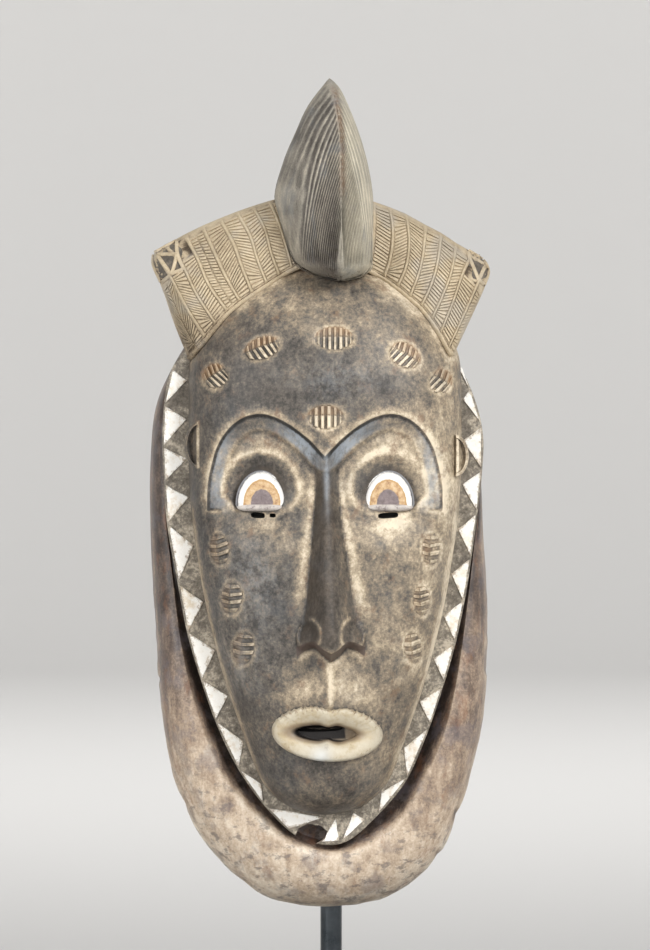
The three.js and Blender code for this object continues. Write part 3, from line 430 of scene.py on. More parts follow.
def mark_place(mark, x, h):
    """Place within a scar mark, as shares of its half length and half height."""
    mx, mh, half_length, half_height, turn, _ = mark
    c, s = math.cos(math.radians(turn)), math.sin(math.radians(turn))
    return ((x - mx) * c + (h - mh) * s) / half_length, (-(x - mx) * s + (h - mh) * c) / half_height


def mark_fall(x, h):
    fall = 0
    for mark in SCAR_MARKS:
        along, up = mark_place(mark, x, h)
        fall = fall + MARK_FALL * (1 - smooth(0.9, 1.12, np.hypot(along, up)))
    return fall


def face_plain(x, h):
    return face_dome(x, h) - brow_fall(x, h) - socket_fall(x, h) + nose_stand(x, h) + philtrum_stand(x, h)


def face_depth(x, h):
    places = np.stack(np.broadcast_arrays(x, h, 0 * x), -1)
    unevenness = 0.22 * hand_wave(places, 9, 3) + 0.1 * hand_wave(places, 3.2, 8)
    return face_plain(x, h) - FACE_SKIM + unevenness - mouth_fall(x, h) - mark_fall(x, h)


# Making solids from rings of points


def placed(points):
    """Carving places in millimetres to the frame's metres."""
    x, h, d = np.moveaxis(np.asarray(points, float), -1, 0)
    return np.stack([x - MASK_SHIFT, BACK_Y - d, BASE_Z + h], -1) * MM


def carve(name, rings, finish):
    """Bends a grid blank round the rings, joins its seam, closes its ends and turns its faces out."""
    rings = np.asarray(rings, float)
    rows, columns = rings.shape[:2]
    wrapped = np.concatenate([rings, rings[:, :1]], axis=1)
    bpy.ops.object.select_all(action="DESELECT")
    bpy.ops.mesh.primitive_grid_add(x_subdivisions=columns, y_subdivisions=rows - 1, size=1)
    piece = bpy.context.object
    piece.name = name
    piece.data.vertices.foreach_set("co", placed(wrapped).astype(np.float32).ravel())
    for label in FINISHES:
        piece.data.materials.append(bpy.data.materials.get(label) or bpy.data.materials.new(label))
    faces = piece.data.polygons
    faces.foreach_set("material_index", np.full(len(faces), FINISH[finish], np.int32))
    bpy.ops.object.mode_set(mode="EDIT")
    for work, settings in (
        (bpy.ops.mesh.remove_doubles, {"threshold": 2e-6}),
        (bpy.ops.mesh.fill_holes, {"sides": 0}),
        (bpy.ops.mesh.normals_make_consistent, {"inside": False}),
    ):
        bpy.ops.mesh.select_all(action="SELECT")
        work(**settings)
    bpy.ops.object.mode_set(mode="OBJECT")
    return piece


def cut_or_join(whole, piece, operation="UNION"):
    """Joins a piece to the whole, or cuts it out of it, and uses it up."""
    bpy.ops.object.select_all(action="DESELECT")
    bpy.context.view_layer.objects.active = whole
    whole.select_set(True)
    change = whole.modifiers.new("carving", "BOOLEAN")
    change.operation = operation
    change.solver = "MANIFOLD"
    change.object = piece
    bpy.ops.object.modifier_apply(modifier=change.name)
    bpy.data.objects.remove(piece)


def ring(radius_at, depth_at, steps):
    """Ring of points about the carving's middle, with a radius for each angle and a depth for each place."""
    angle = -np.pi + 2 * np.pi * (np.arange(steps) + 0.5) / steps
    radius = radius_at(angle)
    x, h = radius * np.cos(angle), OUTLINE_CENTRE + radius * np.sin(angle)
    return np.stack([x, h, depth_at(x, h)], -1)


def level(depth):
    """The same depth at every place."""
    return lambda x, h: 0 * x + depth


# The carving's parts


def crease_depth(h):
    return FLANGE_DEPTH - 3 - 11 * smooth(60, 190, h)


def rim_depth(h):
    return 10 - 4 * smooth(60, 200, h)


def rim_wear(angle):
    """Small nicks and flat spots worn into the collar's outer edge, most of them low down."""
    low = smooth(0.1, -0.35, np.sin(angle))
    wave = np.sin(23 * angle + 1) * np.sin(9 * angle) + 0.6 * np.sin(61 * angle) * np.sin(17 * angle + 2)
    chips = 0
    for place, deep, wide in RIM_CHIPS:
        off = np.angle(np.exp(1j * (angle - math.radians(place))))
        chips = chips + deep * np.clip(1 - np.abs(off) / math.radians(wide), 0, 1) ** 0.6
    return np.clip(0.28 * low * (1 + wave), 0, None) + chips


def collar_body():
    """Body of the mask with the rolled collar: back rim, outer edge, roll, crease and gutter."""
    steps = 270
    shares = np.sin(np.linspace(0, np.pi / 2, 22))[::-1]

    def roll_depth(share):
        fall = (1 - share**ROLL_BEND) ** (1 / ROLL_BEND)
        dip = ROLL_DIP if share == 0 else 0

        def depth(x, h):
            wave = hand_wave(np.stack([x, h, 0 * x + 20 * share], -1), 7, 5)
            rise = (crease_depth(h) + 2 - rim_depth(h)) * fall
            return rim_depth(h) + rise - dip - 0.35 * (1 + wave) * (1 - share)

        return depth

    def roll_radius(share):
        wear = smooth(0.82, 0.97, share)
        return lambda a: (
            crease_radius(a) + (collar_radius(a) - crease_radius(a)) * share - wear * rim_wear(a)
        )

    def gutter(a):
        return np.minimum(flange_radius(a), crease_radius(a)) - 1.5

    def gutter_wall(a):
        return 0.6 * crease_radius(a) + 0.4 * gutter(a)

    rings = [ring(lambda a: END_SHARE * collar_radius(a), level(0), steps)]
    for inset, depth in ((3, 0), (1.4, 0.6), (0.5, 2.4)):
        rings.append(ring(lambda a, i=inset: collar_radius(a) - i - rim_wear(a), level(depth), steps))
    rings += [ring(roll_radius(s), roll_depth(s), steps) for s in shares]
    rings += [
        ring(gutter_wall, lambda x, h: 0.5 * (crease_depth(h) + GUTTER_DEPTH), steps),
        ring(gutter, level(GUTTER_DEPTH), steps),
        ring(lambda a: END_SHARE * collar_radius(a), level(GUTTER_DEPTH), steps),
    ]
    return carve("collar_body", rings, "collar_wood")


def flange_plate():
    """Plate of the toothed border with a softened edge."""
    steps, back = 330, 12
    rings = [ring(lambda a: END_SHARE * flange_radius(a), level(back), steps)]
    for inset, below in ((8, FLANGE_DEPTH - back), (2, 8), (0.3, 1.6), (0, 0.9), (0.3, 0.3), (1, 0)):
        rings.append(ring(lambda a, i=inset: flange_radius(a) - i, level(FLANGE_DEPTH - below), steps))
    rings.append(ring(lambda a: END_SHARE * flange_radius(a), level(FLANGE_DEPTH), steps))
    return carve("flange_plate", rings, "border_wood")


def edge_point(side, height):
    """Place on the border's edge at a height, left or right."""
    angle = np.linspace(-np.pi / 2 if side > 0 else 3 * np.pi / 2, np.pi / 2, 2000)
    wrapped = np.where(angle > np.pi, angle - 2 * np.pi, angle)
    reached = OUTLINE_CENTRE + flange_radius(wrapped) * np.sin(wrapped)
    at = np.interp(height, reached, angle)
    radius = flange_radius(at) - 0.9
    return np.array([radius * math.cos(at), OUTLINE_CENTRE + radius * math.sin(at)])


def tooth(corners, seed):
    """Low painted wedge with soft top edges and slightly wandering sides."""
    corners = np.array(corners, float)
    share = (np.arange(7) / 7)[:, None]
    sides = [corners[k] + (corners[(k + 1) % 3] - corners[k]) * share for k in range(3)]
    outline = np.concatenate(sides)
    middle = outline.mean(0)
    sway = hand_wave(np.c_[outline, 0 * outline[:, 0]], 3.0, seed)[:, None] * 0.35
    outline = outline + (outline - middle) / np.linalg.norm(outline - middle, axis=1)[:, None] * sway
    rings = []
    for shrink, stand in (
        (0, -1.2), (0, 0.35), (0.04, TOOTH_STAND), (0.5, TOOTH_STAND + 0.1), (0.9, TOOTH_STAND),
    ):
        inner = outline + (middle - outline) * shrink
        rings.append(np.c_[inner, np.full(len(inner), FLANGE_DEPTH + stand)])
    return carve("tooth", rings, "tooth_chalk")


def teeth():
    pieces = []
    for side, row in ((-1, TEETH_LEFT), (1, TEETH_RIGHT)):
        for k, (top, length) in enumerate(row):
            height = top - length * TOOTH_POINT
            point = (side * (profile(FACE_HALF_WIDTH, height) + 0.8), height)
            corners = [edge_point(side, top), edge_point(side, top - length), point]
            pieces.append(tooth(corners, k + 20 * (side + 1)))
    pieces.append(tooth([(19, 44.3), (8.5, 34.6), (13.5, 47.6)], 51))
    pieces.append(tooth([(6.8, 34.4), (-1.5, 33.6), (5.2, 45)], 52))
    return pieces


def even_shares(curve_depth, span, count, weight):
    """Shares across a section so that the facets are even along its length, denser where weighted."""
    t = np.linspace(-1, 1, 6001)
    x, d = t * span, curve_depth(t)
    pace = np.hypot(np.diff(x), np.diff(d)) * weight(0.5 * (t[1:] + t[:-1]))
    run = np.concatenate([[0], np.cumsum(pace)])
    return np.interp(np.linspace(0, run[-1], count), run, t)


def face_shell():
    """The face with its carving, over a back that the head hides."""
    columns = even_shares(
        lambda t: 40 * (1 - np.abs(t) ** 2.5) ** 0.4, 65, 139,
        lambda t: np.where(np.abs(t) < 0.27, 1.5, np.where(np.abs(t) < 0.72, 1.1, 0.8)),
    )
    bottom, top = FACE_HALF_WIDTH[0][0], FACE_HALF_WIDTH[-1][0]
    h = np.linspace(bottom + 0.15, top - 0.3, 9001)
    middle = 0.5 * (h[1:] + h[:-1])
    busy = np.any([(middle > low) & (middle < high) for low, high in ((68, 102), (118, 143), (186, 242))], 0)
    pace = np.hypot(np.diff(h), np.diff(profile(FACE_MIDDLE, h))) * np.where(busy, 1.35, 0.9)
    run = np.concatenate([[0], np.cumsum(pace)])
    rows = np.interp(np.linspace(0, run[-1], 285), run, h)
    half = profile(FACE_HALF_WIDTH, rows)
    x = columns[None, :] * half[:, None]
    hh = np.repeat(rows[:, None], len(columns), 1)
    front = np.stack([x, hh, face_depth(x, hh)], -1)
    backs = [np.stack([edge, rows, 0 * rows + FACE_BACK], -1)[:, None] for edge in (half, -half)]
    return carve("face_shell", np.concatenate([front, *backs], 1), "face_patina")


def eye_base(side):
    return float(face_plain(np.array(side * EYE_OFFSET), np.array(SOCKET_HEIGHT)))


def eye_plate(side):
    """Domed half disc of the eye inside its raised rim."""
    base = eye_base(side)
    rings = []
    for grow, stand in (
        (1, -3), (1, 0.5), (0.7, 1.1), (0.25, 1.2), (0, 0.9), (0, 1.45), (-0.2, 1.9), (-0.75, 2.5),
        (-1.9, 2.9), (-3.5, 3.15), (-5.5, 3.3), (-7.5, 3.36), (-9.3, EYE_STAND),
    ):
        angle = np.linspace(0, np.pi, 48)
        wide, tall = EYE_HALF_WIDTH + grow, EYE_TOP - EYE_LID + grow
        arc = np.stack([side * EYE_OFFSET + wide * np.cos(angle), EYE_LID + tall * np.sin(angle)], -1)
        across = np.linspace(-0.95, 0.95, 16)[:, None] * wide
        low = np.concatenate([side * EYE_OFFSET + across, 0 * across + EYE_LID - 1.6], 1)
        flat = np.concatenate([arc, low])
        rings.append(np.c_[flat, np.full(len(flat), base + stand)])
    return carve("eye_plate", rings, "eye_paint")


def eye_bar(side):
    """Rounded lower lid along the flat side of the eye."""
    base = eye_base(side)
    rings = []
    for share in np.sin(np.linspace(-np.pi / 2, np.pi / 2, 25)):
        thick = max(0.12, (1 - abs(share) ** 3.5) ** 0.5)
        turn = np.linspace(-0.35, np.pi + 0.35, 11)
        up = EYE_BOTTOM + 1.15 + 1.95 * thick * np.cos(turn)
        out = base + 1.2 + 3.1 * thick * np.sin(turn)
        x = np.full(len(turn), side * EYE_OFFSET + share * (EYE_HALF_WIDTH + 0.2))
        top = np.stack([x, up, out], -1)
        under = top[[-1, 0]] * [1, 1, 0] + [0, 0, base - 2.5]
        rings.append(np.concatenate([top, under]))
    return carve("eye_bar", rings, "eyelid_paint")


def lips():
    """Ring of the painted lips round the open mouth."""
    angle = 2 * np.pi * np.arange(168) / 168
    c, s = np.cos(angle), np.sin(angle)
    dx = LIP_HALF_WIDTH * c
    bow = np.where(s > 0, LIP_BOW * np.exp(-((dx - 1) / 5.5) ** 2), 0)
    nicks = np.where(s > 0.3, 0.4 * np.sin(2.3 * dx) ** 3 + 0.25 * np.sin(4.1 * dx + 1), 0)
    outer = np.stack([MOUTH_X + dx, MOUTH_HEIGHT - LIP_TILT * dx + s * (LIP_HALF_HEIGHT - bow) + nicks], -1)
    wide = OPENING_HALF_WIDTH * c
    tall = OPENING_HALF_HEIGHT + 0.5 - 1.4 * np.exp(-(((wide - 0.5) / 2.6) ** 2))
    inner = np.stack([MOUTH_X + wide, MOUTH_HEIGHT - LIP_TILT * wide + s * tall * np.abs(s) ** 0.25], -1)
    ridge = np.where(s < 0, np.exp(-((dx / 2.4) ** 2)), 0)
    rings = []
    for share, stand in LIP_SECTION:
        flat = outer + (inner - outer) * share
        nick = 0.5 * nicks * (1 - smooth(0.1, 0.35, share))
        lift = 0.9 * ridge * math.sin(math.pi * min(1, max(0, share)))
        rings.append(np.c_[flat, face_plain(*flat.T) - FACE_SKIM + stand + nick + lift])
    return carve("lips", rings, "lip_paint")


def scar_mark(mark):
    """Oval of stubby ridges, cut from above and below so that they bend along a line above the middle."""
    mx, mh, half_length, half_height, turn, ridges = mark
    c, s = math.cos(math.radians(turn)), math.sin(math.radians(turn))
    stations = 6 * ridges + 1
    rng = np.random.default_rng(int(abs(mx * 7 + mh)))
    sway = np.cumsum(rng.uniform(-0.35, 0.35, ridges + 1))
    sway -= np.linspace(sway[0], sway[-1], ridges + 1)
    strength = rng.uniform(0.65, 1.1, ridges)
    across = np.array([1, 0.9, 0.72, 0.5, 0.34, 0.22, 0.08, -0.1, -0.34, -0.6, -0.84, -1])
    cheek = turn > CHEEK_TURN
    lean = 1.0 if cheek else 0 if abs(mx) < 10 else -np.sign(mx) * 1.5
    rings = []
    for k in range(stations):
        share = -1 + 2 * (k / 6 + 0.6 * np.interp(k / 6, np.arange(ridges + 1), sway)) / ridges
        share = min(1, max(-1, share))
        wave = abs(((k / 6) % 1) - 0.5) * 2
        high = (1 - smooth(0.3, 0.8, wave)) * (1 - abs(share) ** 6) * strength[min(k // 6, ridges - 1)]
        reach = half_height * math.sqrt(max(0.1, 1 - share * share))
        up = across * reach
        notch = smooth(0.02, 0.16, np.abs(across - 0.22)) * (1 - smooth(0.86, 1, np.abs(across)))
        stand = (1.8 if cheek else 2.1) * high * (0.78 + 0.22 * notch)
        stand = stand + 0.3 * high * notch * (across < 0.1) - 1.5
        along = share * half_length + lean * np.abs(across - 0.22) * (1 - abs(share) ** 2)
        px, ph = mx + along * c - up * s, mh + along * s + up * c
        top = np.stack([px, ph, face_plain(px, ph) - 0.2 + stand], -1)
        under = top[[-1, 0]] * [1, 1, 0] + [0, 0, 1] * (face_plain(px[[-1, 0]], ph[[-1, 0]])[:, None] - 3.4)
        rings.append(np.concatenate([top, under]))
    return carve("scar_mark", rings, "face_patina")


def ear_outline(shape, grow, rise):
    """Half disc with its straight side towards the face, its level falling outward."""
    x, h, reach, half = shape
    side = np.sign(x)
    angle = np.linspace(-np.pi / 2, np.pi / 2, 30)
    arc = np.stack([x + side * (reach + grow) * np.cos(angle), h + (half + grow) * np.sin(angle)], -1)
    straight = np.linspace(half + grow, -half - grow, 14)[1:-1]
    flat = np.concatenate([arc, np.c_[np.full(len(straight), x - side * grow), h + straight]])
    return np.c_[flat, EAR_FRONT + rise - 0.85 * np.abs(flat[:, 0] - x)]


def ear(shape):
    """Half disc of an ear, dished so that a rim is left."""
    back = ear_outline(shape, 0, 0)
    back[:, 2] = EAR_BACK
    back[:, 0] -= np.sign(shape[0]) * 3
    edge = [ear_outline(shape, grow, rise) for grow, rise in ((0, -1), (-0.25, -0.3), (-0.7, 0))]
    dish = [ear_outline(shape, grow, rise) for grow, rise in ((-2.6, -3.4), (-1.5, -2), (-1.3, 2))]
    outer = carve("ear", [back] + edge, "face_patina")
    cut_or_join(outer, carve("ear_hollow", dish, "face_patina"), "DIFFERENCE")
    return outer


def path_points(path, shares):
    """Points at shares of the length along a smooth path."""
    curve = flowing_curve(path, False, 40)
    run = np.concatenate([[0], np.cumsum(np.hypot(*np.diff(curve, axis=0).T))])
    at = np.clip(shares, 0, 1) * run[-1]
    return np.stack([np.interp(at, run, curve[:, 0]), np.interp(at, run, curve[:, 1])], -1)


RIB_SAMPLES = 80


def rib_table(ribs):
    return np.array([path_points(rib, np.linspace(0, 1, RIB_SAMPLES + 1)) for rib in ribs])


BUNS = {
    "left": (rib_table(BUN_LEFT), BANDS_LEFT, BARS_LEFT),
    "right": (rib_table(BUN_RIGHT), BANDS_RIGHT, BARS_RIGHT),
}


def bun_front(table, phase, v):
    """Place and levels on a bun: the phase counts ribs from the outer edge, v runs up from the hairline."""
    phase, v = np.broadcast_arrays(np.asarray(phase, float), np.asarray(v, float))
    k = np.clip(np.floor(phase).astype(int), 0, len(table) - 2)
    j = np.clip(np.floor(v * RIB_SAMPLES).astype(int), 0, RIB_SAMPLES - 1)
    f, g = (phase - k)[..., None], (v * RIB_SAMPLES - j)[..., None]
    where = (table[k, j] * (1 - g) + table[k, j + 1] * g) * (1 - f)
    where = where + (table[k + 1, j] * (1 - g) + table[k + 1, j + 1] * g) * f
    root_place = table[k, 0] * (1 - f) + table[k + 1, 0] * f
    along = 1 - phase / (len(table) - 1)
    end = smooth(0.86, 1, along)
    dome = face_dome(0.97 * root_place[..., 0], np.minimum(root_place[..., 1], 305))
    root = np.maximum(dome, 50) + BUN_STAND
    top = BUN_TOP_FRONT + (BUN_END_FRONT - BUN_TOP_FRONT) * along
    middle = (top + BUN_BACK) / 2
    cap = (1 - np.clip(v, 0, 1) ** 5) ** (1 / 2.4)
    turned = 0.72 + 0.28 * np.sqrt(1 - (1 - np.clip(phase / 0.5, 0, 1)) ** 2)
    level = root + (top - root) * smooth(-0.2, 1.2, v) + 12 * v * (1 - v) * (1 - end)
    d = middle + (level - middle) * cap * turned
    return where, d, middle - (middle - BUN_BACK) * cap * turned


def bun_level(table, places):
    """Level of a bun's front at listed x and h."""
    phase, v = np.meshgrid(np.linspace(0, 4, 81), np.linspace(0, 1, 121))
    where, d, _ = bun_front(table, phase.ravel(), v.ravel())
    gap = np.linalg.norm(where[None] - np.asarray(places)[:, None], axis=2)
    return d[gap.argmin(1)]


def bun(table, name):
    """Block of a bun with its ribs."""
    inner = [0, 0.035, 0.08, 0.13, 0.5, 0.87, 0.92, 0.965]
    phases = [k + f for k in range(len(table) - 1) for f in inner] + [len(table) - 1]
    rise = np.array([0, 0.015, 0.03, *np.linspace(0.06, 0.8, 24), 0.86, 0.91, 0.95, 0.975, 0.99, 0.997, 1])
    rings = []
    for p in phases:
        where, d, back = bun_front(table, p, rise)
        off = abs(p - round(p))
        lift = RIB_STAND * (1 - smooth(0.035, 0.12, off))
        lift = lift * (1 - smooth(0.93, 1, rise)) * smooth(0, 0.05, rise)
        front = np.c_[where, d + lift - 1.2 * (1 - smooth(0, 0.03, rise))]
        rear = np.c_[where, back][:-1][::-1][::3]
        sunk = where[0] - (where[-1] - where[0]) * 0.2
        rings.append(np.concatenate([[[*sunk, 40]], front, rear, [[*sunk, 20]]]))
    return carve(name, rings, "plaited_hair")


def cross(a, b):
    return a[..., 0] * b[..., 1] - a[..., 1] * b[..., 0]


def plait_strip(table, band, low, high, slant_low, slant_high, last, seed):
    """Row of slanted ridges between two ribs, each a sharp wedge laid on the bun."""
    first, centre = 0.045, (low + high) / 2
    across = low + (high - low) * np.array([0, 0.14, 0.5, 0.86, 1])
    ends, _, _ = bun_front(table, band + centre, np.array([first, last]))
    cuts = max(6, int(np.linalg.norm(ends[1] - ends[0]) / CUT_PITCH))
    rng = np.random.default_rng(seed)
    marks = []
    for k in range(cuts):
        nudge, high_here = rng.uniform(-0.1, 0.1), rng.uniform(0.5, 0.95)
        if rng.random() < 0.06:
            high_here *= 0.3
        at = k + nudge
        marks += [(at + 0.02, -0.6), (at + 0.24, high_here), (at + 0.8, high_here * 0.9)]
    marks.append((cuts, -0.5))
    rings = []
    for mark, stand in marks:
        share = mark / cuts
        v = first + (last - first) * share
        side = bun_front(table, band + np.array([low, high]), v)[0]
        run = bun_front(table, band + centre, np.array([v - 0.01, v + 0.01]))[0]
        slant = math.radians(slant_low + (slant_high - slant_low) * share)
        line = np.array([math.cos(slant), math.sin(slant)])
        fall = -cross(side[1] - side[0], line) / cross((run[1] - run[0]) / 0.02, line)
        lean = np.clip(fall, -MOST_LEAN, MOST_LEAN) / (high - low)
        fade = smooth(0, 0.28, share) * (1 - smooth(0.72, 1, share))
        leant = np.clip(v + lean * (across - centre) * fade, 0.02, 0.96)
        where, d, _ = bun_front(table, band + across, leant)
        top = np.c_[where, d + stand * np.array([0.6, 1, 1, 1, 0.6]) + 0.25]
        rings.append(np.concatenate([top, np.c_[where[[-1, 0]], d[[-1, 0]] - 1.6]]))
    return carve("plait", rings, "plaited_hair")


def strip(name, stations, base, offsets, stands, sunk):
    """Raised strip along stations on a bun: offsets across it, stands over its base, how deep it is set."""
    direction = np.gradient(stations, axis=0)
    normal = np.stack([-direction[:, 1], direction[:, 0]], -1) / np.linalg.norm(direction, axis=1)[:, None]
    rings = []
    for place, across, depth in zip(stations, normal, base):
        flat = place + np.array(offsets)[:, None] * across
        top = np.c_[flat, depth + np.array(stands)]
        rings.append(np.concatenate([top, np.c_[flat[[-1, 0]], [depth - sunk] * 2]]))
    return carve(name, rings, "plaited_hair")


def bar(table, path):
    """Raised bar of a crossed square."""
    stations = path_points(path, np.linspace(0, 1, 9))
    stands = (0.6, 1.25, 1.4, 1.25, 0.6)
    return strip("bar", stations, bun_level(table, stations), (-0.95, -0.7, 0, 0.7, 0.95), stands, 2)


def square_ground(table, bars):
    """Dark sunk ground of a crossed square, laid on the bun under its bars."""
    corners = np.concatenate([path_points(path, np.linspace(0, 1, 9)) for path in bars])
    centre = corners.mean(0)
    angle = np.linspace(-np.pi, np.pi, 33)[:-1]
    aim = np.stack([np.cos(angle), np.sin(angle)], -1)
    reach = ((corners - centre)[:, None] * aim[None]).sum(2).max(0)
    edge = centre + aim * np.minimum(reach, np.ptp(corners, 0).mean() * 0.52)[:, None]
    rings = []
    for shrink, lift in ((0.06, -2), (0.06, 0.3), (0.35, 0.3), (0.65, 0.3), (0.95, 0.3)):
        flat = edge + (centre - edge) * shrink
        rings.append(np.c_[flat, bun_level(table, flat) + lift])
    return carve("square_ground", rings, "square_dark")


def hairline_bead(table):
    """Smooth rounded edge between the forehead and a bun."""
    where, d, _ = bun_front(table, np.linspace(0, len(table) - 1, 70), 0.0)
    stands = (-1.6, -0.5, 0.1, 0.2, -0.3, -1.4)
    return strip("hairline", where, d, (-1.5, -1.1, -0.5, 0.2, 0.9, 1.4), stands, 5)


def dressed_bun(side):
    """A bun with its plaits, its crossed square and its hairline."""
    table, bands, bars = BUNS[side]
    block = bun(table, "bun_" + side)
    for k, band in enumerate(bands):
        cut_or_join(block, plait_strip(table, *band, seed=k + 7 * len(side)))
    cut_or_join(block, square_ground(table, bars))
    for path in bars:
        cut_or_join(block, bar(table, path))
    cut_or_join(block, hairline_bead(table))
    return block


def crest_depths(x, h):
    """Depths of the crest's front and back, before the grooves."""
    left, right, keel = profile(CREST_LEFT, h), profile(CREST_RIGHT, h), profile(CREST_KEEL, h)
    front, side, back = profile(CREST_FRONT, h), profile(CREST_SIDE, h), profile(CREST_BACK, h)
    edge = np.where(x < keel, left, right)
    width = np.where(np.abs(keel - edge) < 0.3, 0.3 * np.sign(keel - edge + 1e-9), keel - edge)
    share = np.clip((x - edge) / width, 0, 1)
    swell = (1 - (1 - share) ** 1.8) ** (1 / 1.5)
    middle, half = (left + right) / 2, (right - left) / 2 + 0.01
    rear = np.sqrt(np.clip(1 - ((x - middle) / half) ** 2, 0, None))
    return side + (front - side) * swell, side + (back - side) * rear


def crest_lines(side, count):
    """Grooves' lines on one flank: each leaves the keel as the outline leaves the tip, and ends upright."""
    edge = CREST_LEFT if side < 0 else CREST_RIGHT
    tip_x = float(profile(edge, CREST_TIP))
    low = np.linspace(CREST_FOOT - 2, CREST_BASE + 1.5, 8)
    keel_heights = np.concatenate([np.linspace(CREST_TIP, CREST_FOOT, count - len(low)), low])
    lines = []
    for height in keel_heights:
        h = np.linspace(height, CREST_BASE + 0.05, 900)
        start = float(profile(CREST_KEEL, height))
        follow = start + profile(edge, h + CREST_TIP - height) - tip_x
        foot = 5.5 - 17 * (height - CREST_FOOT) / 56 if side < 0 else 9 + 13.6 * (height - CREST_FOOT) / 60
        foot = foot + (7.4 - foot) * float(smooth(330, 306, height))
        if side < 0:
            foot -= 0.9 * max(0, height - 385)
        over = side * (foot - follow) / 1.6
        x = foot - side * 1.6 * np.logaddexp(0, np.clip(over, -40, 40))
        x = x + (follow[0] - x[0]) * np.exp(-(height - h) / 6)
        steep = start + (foot - start) * (1 - (1 - (height - h) / (height - CREST_BASE)) ** 1.9)
        kept_share = max(smooth(374, CREST_TIP, height), 1 - smooth(308, 334, height))
        x = steep + (x - steep) * float(kept_share)
        limit = profile(edge, h)
        outside = (side * (x - limit) >= -0.01) & (h < min(344, height - 1))
        stop = int(np.argmax(outside)) if outside.any() else len(h) - 1
        x, h = x[: stop + 1], h[: stop + 1]
        if len(h) < 4:
            x, h = np.linspace(start, start + side * 0.2, 4), np.linspace(height, height - 0.6, 4)
        run = np.concatenate([[0], np.cumsum(np.hypot(np.diff(x), np.diff(h)))])
        lines.append((run, x, h))
    return lines


def crest():
    """Bud whose grooves run down from the front keel to its lower edge, like the strings of a harp."""
    grooves, steps = 23, 44
    per_groove = 6
    count = grooves * per_groove + 1
    share = np.linspace(0, 1, steps) ** 1.15
    cut = [0.0, 0.55, 0.95, 1.0, 0.85, 0.45]
    sides = {}
    for side in (-1, 1):
        flank = []
        for n, (run, x, h) in enumerate(crest_lines(side, count)):
            away = share * run[-1]
            px, ph = np.interp(away, run, x), np.interp(away, run, h)
            flat = np.c_[px, ph, 0 * px]
            depth, _ = crest_depths(px, ph)
            outer = smooth(13, 24, np.abs(px - profile(CREST_KEEL, ph)))
            wave = 0.6 * cut[n % per_groove] * smooth(0.3, 3, away) * (1 - smooth(run[-1] - 4, run[-1], away))
            wave = wave * smooth(0, 5, n) * (0.5 + 0.5 * smooth(4, 34, n))
            wave = wave * (1 - 0.65 * outer) * smooth(303, 313, ph)
            worn = 0.5 * np.exp(-away / 1.1) * (1 + hand_wave(flat, 1.6, 4))
            worn = worn * smooth(398, 388, ph) * smooth(326, 336, ph)
            wobble = 0.3 * hand_wave(flat, 8, 6) * smooth(0, 4, away)
            flank.append(np.c_[px, ph, depth - wave - worn - 0.2 + wobble])
        sides[side] = np.array(flank)
    rings = []
    for n in range(count):
        left, right = sides[-1][n], sides[1][n]
        left[0] = right[0] = 0.5 * (left[0] + right[0])
        part = np.linspace(0, 1, 12)[1:-1][:, None]
        rear = left[-1] + (right[-1] - left[-1]) * part
        _, depth = crest_depths(rear[:, 0], rear[:, 1])
        inside = smooth(310, CREST_WAIST, rear[:, 1])
        buried = 62 - 0.11 * n
        rear[:, 2] = depth * inside + (1 - inside) * buried
        rings.append(np.concatenate([left, rear, right[::-1][:-1]]))
    outline = rings[0]
    heart = np.array([1.0, 362.0])
    backs = []
    for grow in (0.08, 0.25, 0.45, 0.65, 0.82, 0.93, 0.985):
        flat = heart + (outline[:, :2] - heart) * grow
        _, depth = crest_depths(flat[:, 0], flat[:, 1])
        backs.append(np.c_[flat, depth])
    return carve("crest", backs + rings, "crest_wood")


def hollow():
    """Bowl behind the face, from the back rim up to the face less its wall."""
    steps = 150

    def rim(a):
        return collar_radius(a) - RIM_WIDTH

    def inner(a):
        return face_radius(a) - WALL

    def dome(share):
        def depth(x, h):
            middle = profile(FACE_MIDDLE, np.clip(h, HOLLOW_DOME_BOTTOM, HOLLOW_DOME_TOP)) - WALL - EYE_RECESS
            return HOLLOW_SHOULDER + (middle - HOLLOW_SHOULDER) * (1 - share**2.6) ** (1 / 2.2)

        return depth

    rings = [ring(lambda a: END_SHARE * rim(a), level(-2), steps), ring(rim, level(-2), steps)]
    rings += [ring(lambda a: rim(a) - 0.6, level(0.1 * HOLLOW_SHOULDER), steps)]
    for share, at in ((0.15, 0.3), (0.45, 0.52), (0.75, 0.72), (0.93, 0.88)):
        side = ring(lambda a, s=share: rim(a) + (inner(a) - rim(a)) * s, level(at * HOLLOW_SHOULDER), steps)
        rings.append(side)
    for share in (1, 0.985, 0.96, 0.92, 0.87, 0.8, 0.72, 0.63, 0.53, 0.42, 0.3, 0.17, END_SHARE):
        rings.append(ring(lambda a, s=share: s * inner(a), dome(share), steps))
    return carve("hollow", rings, "back_wood")


def through_cut(x, h, half_width, half_height, climb):
    """Opening cut on the slant, so that it climbs towards the back."""
    angle = 2 * np.pi * np.arange(28) / 28
    wide = np.sign(np.cos(angle)) * np.abs(np.cos(angle)) ** 0.6
    tall = np.sign(np.sin(angle)) * np.abs(np.sin(angle)) ** 0.6
    flat = np.stack([x + half_width * wide, h + half_height * tall], -1)
    rings = [np.c_[flat + [0, climb * (75 - d) / 20], np.full(28, d)] for d in (30.0, 125.0)]
    return carve("through_cut", rings, "back_wood")


